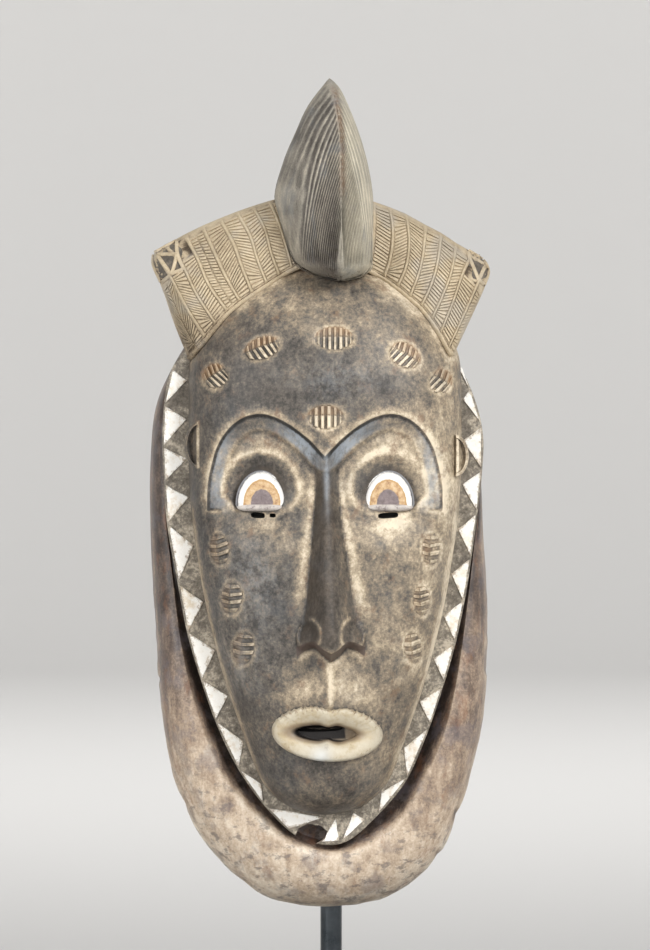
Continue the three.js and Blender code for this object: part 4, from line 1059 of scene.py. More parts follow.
def through_cuts():
    slit = EYE_BOTTOM - 1.9
    return [
        through_cut(-31.8, slit, 0.32 * SLIT_LENGTH, SLIT_HEIGHT / 2, 5),
        through_cut(-24.8, slit + 0.3, 0.14 * SLIT_LENGTH, SLIT_HEIGHT / 2 - 0.3, 5),
        through_cut(EYE_OFFSET - 0.4, slit, 0.46 * SLIT_LENGTH, SLIT_HEIGHT / 2, 5),
        through_cut(-2.4, MOUTH_HEIGHT + 1.2, 11.4, OPENING_HALF_HEIGHT - 0.9, 9),
    ]


def flange_chip():
    """Piece broken out of the border under the chin."""
    angle = 2 * np.pi * np.arange(24) / 24
    flat = np.stack([-6.5 + 7.5 * np.cos(angle), 37.5 + 4.6 * np.sin(angle)], -1)
    flat += 0.4 * np.c_[np.sin(5 * angle), np.cos(7 * angle)]
    low, high = np.full(24, GUTTER_DEPTH), np.full(24, FLANGE_DEPTH + 6)
    return carve("chip", [np.c_[flat, low], np.c_[flat, high]], "collar_wood")


def carved_mask():
    """The whole carving, each part joined on or cut out in turn."""
    whole = collar_body()
    flange = flange_plate()
    for piece in teeth():
        cut_or_join(flange, piece)
    cut_or_join(flange, flange_chip(), "DIFFERENCE")
    cut_or_join(whole, flange)
    cut_or_join(whole, face_shell())
    relief = [part(side) for side in (-1, 1) for part in (eye_plate, eye_bar)] + [lips()]
    relief += [scar_mark(mark) for mark in SCAR_MARKS] + [ear(shape) for shape in EARS]
    for piece in relief:
        cut_or_join(whole, piece)
    for side in ("left", "right"):
        cut_or_join(whole, dressed_bun(side))
    cut_or_join(whole, crest())
    cut_or_join(whole, hollow(), "DIFFERENCE")
    for piece in through_cuts():
        cut_or_join(whole, piece, "DIFFERENCE")
    whole.name = "mask_carving"
    return whole


# Wear, dust, paint and painted light and shade, kept as values on the carving's points


def surface_places(piece):
    """Places of a piece's points on the carving, in millimetres."""
    flat = np.empty(len(piece.data.vertices) * 3)
    piece.data.vertices.foreach_get("co", flat)
    x, y, z = (flat.reshape(-1, 3) / MM).T
    return np.stack([x + MASK_SHIFT, z - BASE_Z, BACK_Y - y], -1)


def hollowness(piece, places, rounds):
    """How far each point lies below the average of its surroundings, in millimetres."""
    count = len(places)
    flat = np.empty(count * 3)
    piece.data.vertices.foreach_get("normal", flat)
    outward = flat.reshape(-1, 3)[:, [0, 2, 1]] * [1, 1, -1]
    edges = np.empty(len(piece.data.edges) * 2, np.int32)
    piece.data.edges.foreach_get("vertices", edges)
    a, b = edges.reshape(-1, 2).T
    weight = 1 / (np.linalg.norm(places[a] - places[b], axis=1) + 0.3)
    total = np.bincount(a, weight, count) + np.bincount(b, weight, count)
    eased = places.copy()
    for _ in range(rounds):
        eased = np.stack([
            (np.bincount(a, weight * line[b], count) + np.bincount(b, weight * line[a], count)) / total
            for line in eased.T
        ], -1)
    return ((eased - places) * outward).sum(1)


def keep(piece, names, rows):
    for name, values in zip(names, rows):
        layer = piece.data.attributes.new(name, "FLOAT", "POINT")
        layer.data.foreach_set("value", np.asarray(values, np.float32))


def near(distance, width):
    """1 at no distance, fading over the width."""
    return np.exp(-((distance / width) ** 2))


def hair_distance(x, h):
    """Distance from the hairline."""
    best = np.full(len(x), 99.0)
    for table, _, _ in BUNS.values():
        line = table[:, 0]
        fine = np.concatenate([line[:-1] + (line[1:] - line[:-1]) * f for f in (0, 0.25, 0.5, 0.75)])
        for px, ph in fine:
            best = np.minimum(best, np.hypot(x - px, h - ph))
    return best


def mark_rims(x, h):
    """1 on the rims round the scar marks."""
    rims = 0
    for mark in SCAR_MARKS:
        along, up = mark_place(mark, x, h)
        rims = np.maximum(rims, near(np.hypot(along, up) - 1.12, 0.16))
    return rims


def worn_places(places):
    """Dust with painted highlight on the socket rims and ledges, soot, the painted blue highlight down the
    nose and slate patches of painted reflection over the face, each from 0 to 1.
    """
    x, h, d = places.T
    side = np.abs(x)
    between = near(x - 1, 8) * smooth(222, 228, h) * (1 - smooth(236, 250, h))
    dx, rise = side - EYE_OFFSET, h - SOCKET_HEIGHT
    share = np.hypot(dx / SOCKET_RADIUS, rise / np.where(rise > 0, SOCKET_RADIUS, SOCKET_LOW_RADIUS))
    socket = near(share - 1.02, 0.1) * smooth(186, 198, h)
    apron = near(share - 1.3, 0.22) * smooth(190, 200, h) * (1 - smooth(226, 236, h))
    foot = nose_share(x, h)
    foot_line = near(foot - 1.3, 0.34) * (foot > 0.98) * smooth(138, 150, h) * (1 - smooth(200, 214, h))
    cheek = near(side - 20, 9) * smooth(150, 175, h) * (1 - smooth(180, 192, h))
    off = nose_off(x, h)
    below = profile(NOSE_UNDER_FOOT, off) - h
    fan = near(below - 1.6, 2.0) * (1 - smooth(13, 18, off)) * (below > -1)
    ridge = near(x - 2.5, 1.7 + 0.1 * np.clip(h - 108, 0, 14))
    ridge = ridge * smooth(96, 100, h) * (1 - smooth(119, 122, h))
    rims = near(dish_share(x, h) - 1.1, 0.15) * smooth(WING_DISH_OFFSET + 1, WING_DISH_OFFSET - 3, off)
    rims = rims * (foot < 1) * (h > 130)
    over_lip = near(side - 14, 12) * near(h - 105, 6) + 1.6 * near(side - 8, 9) * near(h - 112, 10)
    half = np.maximum(1, profile(FACE_HALF_WIDTH, h))
    jaw_edge = near((half - side) / 1.9 - 0.4, 0.8) * (d > 30)
    jaw_edge = jaw_edge * smooth(52, 70, h) * (1 - smooth(180, 205, h))
    ledge = near(h - LEDGE_HEIGHT, 1.2) * near(side - 53, 3.5)
    hair = near(hair_distance(x, h), 4.5) * (h > 240)
    crown = smooth(262, 298, h) * 0.18
    right = 0.4 * smooth(2, 40, x) * (1 - 0.5 * smooth(228, 262, h))
    right = right + 0.18 * smooth(46, 60, x) * near(h - 205, 42)
    lower_lid = near(np.hypot(dx / 15, (h - 186) / 6), 0.7)
    ear_ridge = sum(near(x - ear[0] * 1.012, 0.7) * (np.abs(h - ear[1]) < ear[3]) for ear in EARS)
    # The light lines on the socket rims and at the ledge are dust and painted highlight.
    dust = np.clip(
        0.55 * between + 0.75 * socket + 0.3 * apron + 0.7 * foot_line + 0.2 * cheek
        + 0.5 * np.maximum(fan, ridge) + 0.5 * rims + 0.42 * over_lip + 0.55 * hair + crown + right
        + 0.5 * lower_lid + 0.3 * mark_rims(x, h) + 0.9 * ear_ridge + 0.65 * jaw_edge + 0.9 * ledge,
        0, 1,
    )
    inside = (1 - smooth(0.93, 1.04, foot)) * smooth(126, 130, h)
    nose_side = inside * (1 - smooth(206, 220, h)) * (1 - 0.7 * smooth(0.5, 6, x - profile(NOSE_MIDDLE, h)))
    socket_low = (1 - smooth(0.45, 0.85, share)) * (h > 190)
    lids = near(np.hypot(dx / EYE_HALF_WIDTH, (h - 195.9) / 15.1) - 1.13, 0.07) * (h > 189)
    temple = smooth(50, 60, -x) * smooth(120, 200, h) * 0.25
    jaw = (1 - smooth(58, 76, h)) * 0.12 + 0.35 * near(side - 38, 10) * (1 - smooth(100, 125, h))
    low_forehead = near(h - 250, 7) * near(side - 24, 14) * 0.4
    left_top = near(x + 44, 16) * near(h - 272, 14) * 0.4
    soot = np.clip(
        0.85 * nose_side * (1 - rims) + 0.55 * socket_low + 0.6 * lids
        + temple + jaw + low_forehead + left_top,
        0, 1,
    )
    # Painted highlight down the nose's bridge.
    bridge_highlight = 0.8 * near(off, 0.9 + 0.02 * np.clip(h - 190, 0, 30))
    bridge_highlight = bridge_highlight * smooth(184, 208, h) * (1 - smooth(216, 222, h))
    # Slate patches of painted reflection on the cheeks and forehead.
    slate = near(x + 33, 14) * near(h - 160, 22) * 0.4 + near(x + 40, 12) * near(h - 120, 14) * 0.35
    slate = slate + near(x - 10, 26) * near(h - 255, 8) * 0.35
    return dust, soot, bridge_highlight, slate


def mark_places(places):
    """1 inside the scar marks, and 1 above the line where their cuts turn."""
    x, h, d = places.T
    inside, upper = np.zeros(len(x)), np.zeros(len(x))
    for mark in SCAR_MARKS:
        along, up = mark_place(mark, x, h)
        here = (1 - smooth(0.98, 1.1, np.hypot(along, up))) * (0.4 if mark[4] > CHEEK_TURN else 1)
        inside, upper = np.maximum(inside, here), np.maximum(upper, here * smooth(0.1, 0.35, up))
    return inside, upper


def opening_shade_places(places):
    """1 inside the eye slits and the mouth, where their walls get painted shade."""
    x, h, d = places.T
    _, mouth = lip_rings(x, h)
    slits = (np.abs(h - EYE_BOTTOM + 1) < 6) & (np.abs(np.abs(x) - EYE_OFFSET) < 9)
    return ((slits | (mouth < 3)) & (d > 50)) * 1.0


def paint_places(places):
    """Shares of the way out over the eyes and over the lips, for the edges of their colours and of the
    painted shade in the mouth, kept lighter towards its right end.
    """
    x, h, d = places.T
    eye = np.hypot((np.abs(x) - EYE_OFFSET + 0.4) / EYE_HALF_WIDTH, (h - EYE_LID) / (EYE_TOP - EYE_LID))
    outer, inner = lip_rings(x, h)
    return eye, outer, np.clip(inner + 0.25 * smooth(6, 12, x), 0, 4)


def crest_places(places):
    """Worn seam along the crest's keel and the dark polish at its foot."""
    x, h, d = places.T
    off = x - profile(CREST_KEEL, h)
    seam = near(off - 0.6, 1.5) * smooth(338, 344, h) * (1 - smooth(392, 397, h))
    polish = near(off + 2, 5) * smooth(303, 312, h) * (1 - smooth(322, 345, h))
    polish = np.maximum(polish, (1 - 0.45 * smooth(8, 15, np.abs(off))) * (1 - smooth(306, 320, h)))
    return seam, polish


def collar_places(places):
    """Dust over the lower collar, soot over its upper part, painted shade on its inner wall, and its rubbed
    edge.
    """
    x, h, d = places.T
    low = 1 - smooth(24, 112, h + 0.2 * x)
    dust = np.clip(low * 0.8 + 0.12 * smooth(40, 70, x) * (1 - smooth(90, 190, h)), 0, 1)
    angle = np.arctan2(h - OUTLINE_CENTRE, x)
    radius = np.hypot(x, h - OUTLINE_CENTRE)
    inner = 1 - smooth(0, 3.5, radius - crease_radius(angle))
    inset = collar_radius(angle) - radius
    edge = np.maximum(smooth(2.6, 1.4, inset), 0.8 * near(inset - 5.6 - 1.2 * np.sin(9 * angle), 0.8) * low)
    # The inner wall's share is painted shade; the upper part's share is soot.
    soot = 0.85 * smooth(95, 180, h) * (x < 0) + 0.46 * smooth(100, 190, h) * (x > 0) + 0.75 * inner
    return dust, np.clip(soot, 0, 1), edge


# Finishes


class Finish:
    """Node work of one finish, with sizes in millimetres."""

    def __init__(self, label):
        self.material = bpy.data.materials.get(label) or bpy.data.materials.new(label)
        self.material.use_nodes = True
        self.nodes, self.links = self.material.node_tree.nodes, self.material.node_tree.links
        self.shader = self.nodes["Principled BSDF"]
        self.place = self.nodes.new("ShaderNodeTexCoord").outputs["Object"]

    def put(self, value, socket):
        if isinstance(value, bpy.types.NodeSocket):
            self.links.new(value, socket)
        elif socket.type == "RGBA":
            socket.default_value = (*value, 1)
        else:
            socket.default_value = value

    def math(self, operation, a, b=0.5):
        node = self.nodes.new("ShaderNodeMath")
        node.operation = operation
        self.put(a, node.inputs[0])
        self.put(b, node.inputs[1])
        return node.outputs[0]

    def times(self, a, b):
        return self.math("MULTIPLY", a, b)

    def total(self, start, *terms):
        """A start value and weighted values, added up."""
        value = start
        for term, weight in terms:
            value = self.math("ADD", value, self.times(term, weight))
        return value

    def mapped(self, stretch, shift):
        """The place on the object, stretched and shifted."""
        mapping = self.nodes.new("ShaderNodeMapping")
        self.put(self.place, mapping.inputs["Vector"])
        mapping.inputs["Scale"].default_value = stretch
        mapping.inputs["Location"].default_value = (shift, 1.3 * shift, 0.7 * shift)
        return mapping.outputs[0]

    def noise(self, size, detail=4, rough=0.6, stretch=(1, 1, 1), shift=0.0):
        """Mottling of the given size in millimetres."""
        node = self.nodes.new("ShaderNodeTexNoise")
        self.put(self.mapped(stretch, shift), node.inputs["Vector"])
        node.inputs["Scale"].default_value = 1 / (size * MM)
        node.inputs["Detail"].default_value = detail
        node.inputs["Roughness"].default_value = rough
        return node.outputs["Fac"]

    def facets(self, size, stretch=(1, 1, 1)):
        """Shallow overlapping scoops, as an adze leaves them."""
        node = self.nodes.new("ShaderNodeTexVoronoi")
        node.feature = "SMOOTH_F1"
        self.put(self.mapped(stretch, 0.0), node.inputs["Vector"])
        node.inputs["Scale"].default_value = 1 / (size * MM)
        node.inputs["Smoothness"].default_value = 0.25
        return node.outputs["Distance"]

    def step(self, value, low, high, start=0.0, end=1.0):
        """Soft step from start to end as the value goes from low to high."""
        node = self.nodes.new("ShaderNodeMapRange")
        node.interpolation_type = "SMOOTHSTEP"
        names = ("Value", "From Min", "From Max", "To Min", "To Max")
        for name, at in zip(names, (value, low, high, start, end)):
            self.put(at, node.inputs[name])
        return node.outputs["Result"]

    def kept(self, name):
        node = self.nodes.new("ShaderNodeAttribute")
        node.attribute_name = name
        return node.outputs["Fac"]

    def mix(self, a, b, factor):
        node = self.nodes.new("ShaderNodeMix")
        node.data_type = "RGBA"
        self.put(factor, node.inputs[0])
        self.put(a, node.inputs[6])
        self.put(b, node.inputs[7])
        return node.outputs[2]

    def ramp(self, value, *stops):
        node = self.nodes.new("ShaderNodeValToRGB")
        self.put(value, node.inputs["Fac"])
        points = node.color_ramp.elements
        while len(points) < len(stops):
            points.new(0.5)
        for point, (at, colour) in zip(points, stops):
            point.position = at
            point.color = (*colour, 1)
        return node.outputs["Color"]

    def finish(self, colour, roughness, height, depth, shine=0.5):
        """Joins colour, roughness and a bump of the given depth in millimetres to the shader."""
        self.put(colour, self.shader.inputs["Base Color"])
        self.put(roughness, self.shader.inputs["Roughness"])
        self.shader.inputs["Specular IOR Level"].default_value = shine
        bump = self.nodes.new("ShaderNodeBump")
        bump.inputs["Strength"].default_value = 1.0
        bump.inputs["Distance"].default_value = depth * MM
        self.put(height, bump.inputs["Height"])
        self.put(bump.outputs["Normal"], self.shader.inputs["Normal"])
        return self.material


def face_patina():
    """Dark handled patina: brown mottling, tan dust in sheltered places with painted highlight on the socket
    rims and ledges, slate patches and blue-grey bands of painted reflection, painted highlight and shadow
    along the brows' edges, painted shade under the nose, glossy where touched.
    """
    f = Finish("face_patina")
    patches, mottle = f.noise(24, 5, 0.6), f.noise(6, 6, 0.75, (1, 1, 0.85), 1.0)
    streaks, speckle = f.noise(2.2, 3, 0.6, (1, 1, 0.2), 2.0), f.noise(1.7, 3, 0.75, shift=3.0)
    soot, mark, cuts = f.kept("soot"), f.kept("mark"), f.kept("hollow_fine")
    # Dust, with the light lines on the socket rims and the brows' ledges as painted highlight.
    dust_and_highlight = f.times(f.kept("dust"), f.step(mottle, 0.25, 0.6, 0.75, 1.0))
    brow = f.total(f.kept("brow"), (f.math("SUBTRACT", speckle, 0.5), 0.9))
    # Painted highlight on the rim just outside a brow's edge, and a painted shadow line just under that edge.
    rim = f.times(f.times(f.step(brow, -5.0, -0.6), f.step(brow, 0.15, -0.35)), f.kept("brow_high"))
    line = f.times(f.times(f.step(brow, -0.2, 0.25), f.step(brow, 2.4, 0.9)), f.kept("brow_high"))
    tone = f.total(
        -0.86, (patches, 0.66), (mottle, 0.8), (streaks, 0.16), (speckle, 0.72), (dust_and_highlight, 0.62), (soot, -0.2),
        (cuts, -0.3), (f.kept("hollow_wide"), -0.04), (rim, 0.26), (line, -0.3), (mark, 0.1),
        (f.times(mark, cuts), -1.1),
    )
    colour = f.ramp(
        tone, (0.02, (0.012, 0.010, 0.008)), (0.2, (0.046, 0.040, 0.034)), (0.38, (0.115, 0.098, 0.079)),
        (0.56, (0.245, 0.195, 0.135)), (0.74, (0.43, 0.35, 0.245)), (0.95, (0.68, 0.585, 0.44)),
    )
    rust = f.times(f.step(f.noise(8, 4, 0.7, shift=5.0), 0.54, 0.7), f.step(tone, 0.15, 0.5))
    colour = f.mix(colour, (0.16, 0.085, 0.045), f.times(rust, 0.55))
    umber = f.times(soot, f.step(mottle, 0.3, 0.7, 0.25, 0.6))
    colour = f.mix(colour, (0.085, 0.062, 0.042), umber)
    # Painted shade on the underside of the nose.
    under = f.kept("nose_under")
    under_nose_shade = f.times(f.step(under, -0.04, 0.06), f.step(under, 1.06, 0.96))
    colour = f.mix(colour, (0.075, 0.05, 0.04), f.times(under_nose_shade, 0.85))
    orange = f.times(f.kept("mark_upper"), f.step(mottle, 0.3, 0.6, 0.3, 0.9))
    colour = f.mix(colour, (0.30, 0.165, 0.07), f.times(orange, 0.6))
    # Painted blue-grey reflection along the brow bands, and painted highlight down the nose's bridge.
    band = f.times(f.times(f.step(brow, 1.0, 1.8), f.step(brow, 7.4, 5.4)), f.kept("brow_band_sheen"))
    blue = f.math("MAXIMUM", f.kept("bridge_highlight"), band)
    sheen = f.times(blue, f.step(f.noise(3, 4, 0.7, (1, 1, 0.5), 6.0), 0.3, 0.62, 0.3, 0.95))
    colour = f.mix(colour, (0.30, 0.335, 0.37), sheen)
    # Slate patches on the cheeks and forehead are painted reflection.
    slate = f.times(f.kept("slate"), f.step(mottle, 0.42, 0.6, 0.1, 0.8))
    colour = f.mix(colour, (0.20, 0.23, 0.26), slate)
    dark = f.step(f.noise(17, 3, 0.6, shift=8.0), 0.5, 0.68)
    colour = f.mix(colour, (0.085, 0.090, 0.095), f.times(dark, 0.22))
    roughness = f.total(0.34, (mottle, 0.3), (dust_and_highlight, 0.16), (soot, 0.16))
    return f.finish(colour, roughness, f.total(0.0, (mottle, 0.5), (streaks, 0.5), (speckle, 0.3)), 0.24)


def plaited_hair():
    """Tan dusted hair with dark cuts between its ridges."""
    f = Finish("plaited_hair")
    patches, grain = f.noise(14, 4, 0.6), f.noise(2.4, 4, 0.65, shift=1.0)
    speckle = f.noise(0.9, 2, 0.7, shift=2.0)
    cuts = f.math("MAXIMUM", f.kept("hollow_fine"), -0.04)
    tone = f.total(
        -0.14, (patches, 0.5), (grain, 0.46), (speckle, 0.4), (cuts, -1.5), (f.kept("hollow_wide"), -0.04),
        (f.kept("rear"), -0.2), (f.kept("hair_soot"), -0.3),
    )
    colour = f.ramp(
        tone, (0.05, (0.035, 0.024, 0.015)), (0.28, (0.12, 0.088, 0.056)), (0.46, (0.34, 0.27, 0.18)),
        (0.66, (0.46, 0.375, 0.255)), (0.95, (0.62, 0.53, 0.385)),
    )
    grey = f.step(f.noise(20, 3, 0.5, shift=4.0), 0.48, 0.64)
    colour = f.mix(colour, (0.36, 0.34, 0.31), f.times(grey, 0.4))
    height = f.total(0.0, (grain, 0.5), (speckle, 0.5))
    return f.finish(colour, f.total(0.5, (grain, 0.25)), height, 0.2, 0.35)


def square_dark():
    """Sooty ground of the crossed squares."""
    f = Finish("square_dark")
    patches, mottle = f.noise(5, 4, 0.6), f.noise(1.8, 4, 0.7, shift=1.0)
    tone = f.total(-0.1, (patches, 0.6), (mottle, 0.6))
    colour = f.ramp(
        tone, (0.25, (0.035, 0.028, 0.022)), (0.5, (0.10, 0.085, 0.068)), (0.8, (0.26, 0.22, 0.165)),
    )
    return f.finish(colour, 0.6, mottle, 0.3)


def crest_wood():
    """Grooved crest, grey to olive tan with a right flank lit partly by painted light, grooves darkened by
    painted shade, a brown worn seam on its keel and dark polish at its foot.
    """
    f = Finish("crest_wood")
    patches, grain = f.noise(18, 4, 0.6, (1, 1, 0.5)), f.noise(2.0, 4, 0.65, (1, 1, 0.22), 1.0)
    speckle = f.noise(0.9, 2, 0.7, shift=2.0)
    # The right flank is lighter partly in its own olive tan and partly as painted light from the right.
    side = f.kept("right_tan_and_light")
    # The grooves are darkened in colour as painted shade.
    cuts = f.math("MINIMUM", f.math("MAXIMUM", f.kept("hollow_fine"), -0.07), 0.09)
    tone = f.total(
        -0.36, (patches, 0.6), (grain, 0.42), (speckle, 0.3), (side, 0.24), (cuts, -2.6),
        (f.kept("polish"), -0.2), (f.kept("rear"), -0.08),
    )
    left = f.ramp(
        tone, (0.04, (0.030, 0.024, 0.019)), (0.26, (0.105, 0.093, 0.078)), (0.5, (0.27, 0.245, 0.20)),
        (0.72, (0.50, 0.44, 0.34)), (0.95, (0.80, 0.72, 0.58)),
    )
    colour = f.mix(left, (0.42, 0.40, 0.30), f.times(side, 0.22))
    seam = f.times(f.kept("seam"), f.step(f.noise(2.6, 4, 0.7, shift=5.0), 0.35, 0.58, 0.3, 1.0))
    colour = f.mix(colour, (0.135, 0.075, 0.04), f.times(seam, 0.8))
    slate = f.step(f.noise(9, 4, 0.6, (1, 1, 0.4), 6.0), 0.52, 0.68)
    colour = f.mix(colour, (0.12, 0.135, 0.15), f.times(slate, 0.35))
    roughness = f.total(0.5, (grain, 0.18), (f.kept("polish"), -0.3))
    return f.finish(colour, roughness, f.total(0.0, (grain, 0.6), (speckle, 0.4)), 0.2, 0.45)


def collar_wood():
    """Rolled collar: dark brown above left, dusted tan below, painted shade on its inner wall, with dark wear
    spots and rubbed edges.
    """
    f = Finish("collar_wood")
    patches, mottle = f.noise(30, 4, 0.6), f.noise(6.5, 5, 0.7, (1, 1, 0.7), 1.0)
    streaks, speckle = f.noise(2.6, 3, 0.65, (1, 1, 0.14), 2.0), f.noise(1.2, 3, 0.7, shift=3.0)
    dust = f.kept("collar_dust")
    # collar_soot_and_shade darkens the upper part as soot and the inner wall as painted shade.
    tone = f.total(
        -0.67, (patches, 0.5), (mottle, 0.8), (streaks, 0.3), (speckle, 0.46), (dust, 0.4),
        (f.kept("collar_soot_and_shade"), -0.26), (f.kept("hollow_fine"), -0.5), (f.kept("rubbed"), 0.16),
    )
    colour = f.ramp(
        tone, (0.0, (0.018, 0.012, 0.010)), (0.2, (0.06, 0.042, 0.034)), (0.38, (0.15, 0.108, 0.082)),
        (0.56, (0.33, 0.245, 0.175)), (0.76, (0.54, 0.43, 0.32)), (0.98, (0.74, 0.65, 0.53)),
    )
    rust = f.times(f.step(f.noise(9, 5, 0.75, (1, 1, 0.45), 5.0), 0.53, 0.68), 0.5)
    colour = f.mix(colour, (0.22, 0.10, 0.05), rust)
    violet = f.times(f.step(f.noise(12, 4, 0.65, shift=7.0), 0.5, 0.66), 0.42)
    colour = f.mix(colour, (0.135, 0.12, 0.135), violet)
    spots = f.times(f.step(f.noise(7, 4, 0.7, (1, 1, 1.6), 9.0), 0.53, 0.64), f.times(dust, 0.85))
    colour = f.mix(colour, (0.15, 0.125, 0.115), spots)
    roughness = f.total(0.26, (mottle, 0.3), (dust, 0.22))
    return f.finish(colour, roughness, f.total(0.0, (mottle, 0.8), (streaks, 0.45), (speckle, 0.3)), 0.35)


def border_wood():
    """Ground of the toothed border, grey-brown and rubbed."""
    f = Finish("border_wood")
    patches, mottle = f.noise(16, 4, 0.6), f.noise(3.4, 5, 0.7, shift=1.0)
    speckle = f.noise(1.0, 2, 0.7, shift=2.0)
    tone = f.total(-0.48, (patches, 0.6), (mottle, 0.9), (speckle, 0.5))
    colour = f.ramp(
        tone, (0.03, (0.03, 0.026, 0.02)), (0.3, (0.085, 0.07, 0.053)), (0.5, (0.19, 0.165, 0.13)),
        (0.7, (0.48, 0.42, 0.33)),
    )
    height = f.total(0.0, (mottle, 0.7), (speckle, 0.4))
    return f.finish(colour, f.total(0.35, (mottle, 0.3)), height, 0.25, 0.45)


def chalk(label, ground, stain, stained, bare):
    """Chalky white paint, stained in patches and rubbed through in specks."""
    f = Finish(label)
    patches, mottle = f.noise(9, 4, 0.65), f.noise(2.6, 5, 0.7, shift=1.0)
    speckle = f.noise(0.9, 3, 0.75, shift=2.0)
    stains = f.total(0.0, (patches, 0.6), (mottle, 0.4))
    colour = f.mix(ground, stain, f.step(stains, 0.52 - stained, 0.74 - stained, 0.0, 0.8))
    worn = f.total(0.0, (mottle, 0.5), (speckle, 0.4), (f.kept("hollow_fine"), -0.5))
    colour = f.mix(colour, bare, f.step(worn, 0.58, 0.68, 0.0, 0.75))
    return f, colour, f.total(0.0, (mottle, 0.6), (speckle, 0.5))


def tooth_chalk():
    """White of the border's teeth."""
    f, colour, height = chalk("tooth_chalk", (0.90, 0.88, 0.83), (0.66, 0.54, 0.37), 0.05, (0.34, 0.26, 0.18))
    return f.finish(colour, 0.6, height, 0.2, 0.4)


def eye_paint():
    """White eye with an ochre line round a peach iris and a grey-violet pupil."""
    f, colour, height = chalk("eye_paint", (0.76, 0.745, 0.72), (0.62, 0.54, 0.42), -0.02, (0.42, 0.34, 0.27))
    mottle = f.noise(1.8, 4, 0.7, shift=4.0)
    share = f.total(f.kept("eye_share"), (f.math("SUBTRACT", mottle, 0.5), 0.1))
    peach = f.ramp(
        f.noise(2.4, 4, 0.7, shift=5.0),
        (0.34, (0.60, 0.46, 0.30)), (0.5, (0.52, 0.345, 0.18)), (0.66, (0.31, 0.175, 0.095)),
    )
    colour = f.mix(colour, peach, f.step(share, 0.80, 0.76))
    ochre = f.times(f.step(share, 0.70, 0.75), f.step(share, 0.80, 0.77))
    colour = f.mix(colour, (0.42, 0.25, 0.09), f.times(ochre, 0.75))
    pupil = f.ramp(mottle, (0.3, (0.12, 0.095, 0.095)), (0.7, (0.26, 0.21, 0.21)))
    colour = f.mix(colour, pupil, f.step(share, 0.50, 0.45))
    colour = f.mix(colour, (0.20, 0.20, 0.21), f.step(share, 1.0, 1.03))
    return f.finish(colour, 0.5, height, 0.15, 0.4)


def eyelid_paint():
    """Grey paint of the lower lids, stained purple-brown."""
    grey, brown, bare = (0.52, 0.48, 0.44), (0.28, 0.235, 0.225), (0.14, 0.11, 0.105)
    f, colour, height = chalk("eyelid_paint", grey, brown, 0.1, bare)
    return f.finish(colour, 0.5, height, 0.25, 0.4)


def lip_paint():
    """Cream painted lips, ochre towards the mouth and cooler white in the middle of the lower lip, with
    painted shade in the mouth opening.
    """
    cream, ochre_stain, bare = (0.54, 0.485, 0.375), (0.42, 0.335, 0.205), (0.26, 0.19, 0.13)
    f, colour, height = chalk("lip_paint", cream, ochre_stain, 0.1, bare)
    inward = f.kept("mouth_share")
    mottle = f.noise(4, 4, 0.65, shift=5.0)
    ochre = f.times(f.step(inward, 2.1, 1.25), f.step(mottle, 0.35, 0.6, 0.3, 0.9))
    colour = f.mix(colour, (0.52, 0.38, 0.19), f.times(ochre, 0.6))
    colour = f.mix(colour, (0.60, 0.60, 0.57), f.kept("lip_middle"))
    # Painted shade in the mouth opening: brown at its edge and right end, near black further in.
    colour = f.mix(colour, (0.15, 0.105, 0.075), f.step(inward, 1.75, 1.3, 0.0, 0.7))
    colour = f.mix(colour, (0.012, 0.009, 0.008), f.step(inward, 1.3, 1.08))
    rim = f.times(f.step(f.kept("lip_share"), 0.93, 0.99), f.step(mottle, 0.45, 0.6, 0.0, 0.6))
    colour = f.mix(colour, (0.30, 0.23, 0.16), rim)
    return f.finish(colour, f.total(0.36, (mottle, 0.2)), height, 0.25, 0.45)


def back_wood():
    """Hollowed back: bare brown wood with adze marks, darker with use, and painted near-black shade on the
    walls of the eye slits and the mouth.
    """
    f = Finish("back_wood")
    scoops, grain = f.facets(9, (1, 1, 0.45)), f.noise(3, 5, 0.7, (1, 1, 0.12))
    patches = f.noise(28, 4, 0.6, shift=2.0)
    tone = f.total(-0.1, (patches, 0.5), (grain, 0.5), (scoops, 0.2))
    colour = f.ramp(
        tone, (0.1, (0.03, 0.018, 0.011)), (0.45, (0.115, 0.07, 0.04)), (0.85, (0.26, 0.175, 0.105)),
    )
    # Painted near-black shade on the walls of the eye slits and the mouth.
    colour = f.mix(colour, (0.006, 0.005, 0.004), f.kept("deep"))
    height = f.total(0.0, (scoops, 1.0), (grain, 0.3))
    return f.finish(colour, f.total(0.55, (grain, 0.25)), height, 1.1, 0.3)


def rod_steel():
    """Dark drawn steel with a faint haze."""
    f = Finish("rod_steel")
    drawn, haze = f.noise(0.6, 3, 0.6, (1, 1, 0.03)), f.noise(14, 4, 0.6, shift=1.0)
    colour = f.ramp(haze, (0.3, (0.035, 0.042, 0.048)), (0.7, (0.085, 0.095, 0.105)))
    f.shader.inputs["Metallic"].default_value = 0.9
    return f.finish(colour, f.total(0.16, (haze, 0.2), (drawn, 0.08)), drawn, 0.03)


def foot_paint():
    """Satin black paint."""
    f = Finish("foot_paint")
    grit, haze = f.noise(0.8, 3, 0.6), f.noise(30, 4, 0.6, shift=1.0)
    colour = f.ramp(haze, (0.3, (0.014, 0.014, 0.015)), (0.7, (0.03, 0.03, 0.031)))
    return f.finish(colour, f.total(0.42, (haze, 0.2)), grit, 0.08)


mask = carved_mask()
bpy.ops.object.select_all(action="DESELECT")
bpy.context.view_layer.objects.active = mask
mask.select_set(True)
bpy.ops.object.shade_smooth_by_angle(angle=math.radians(40))

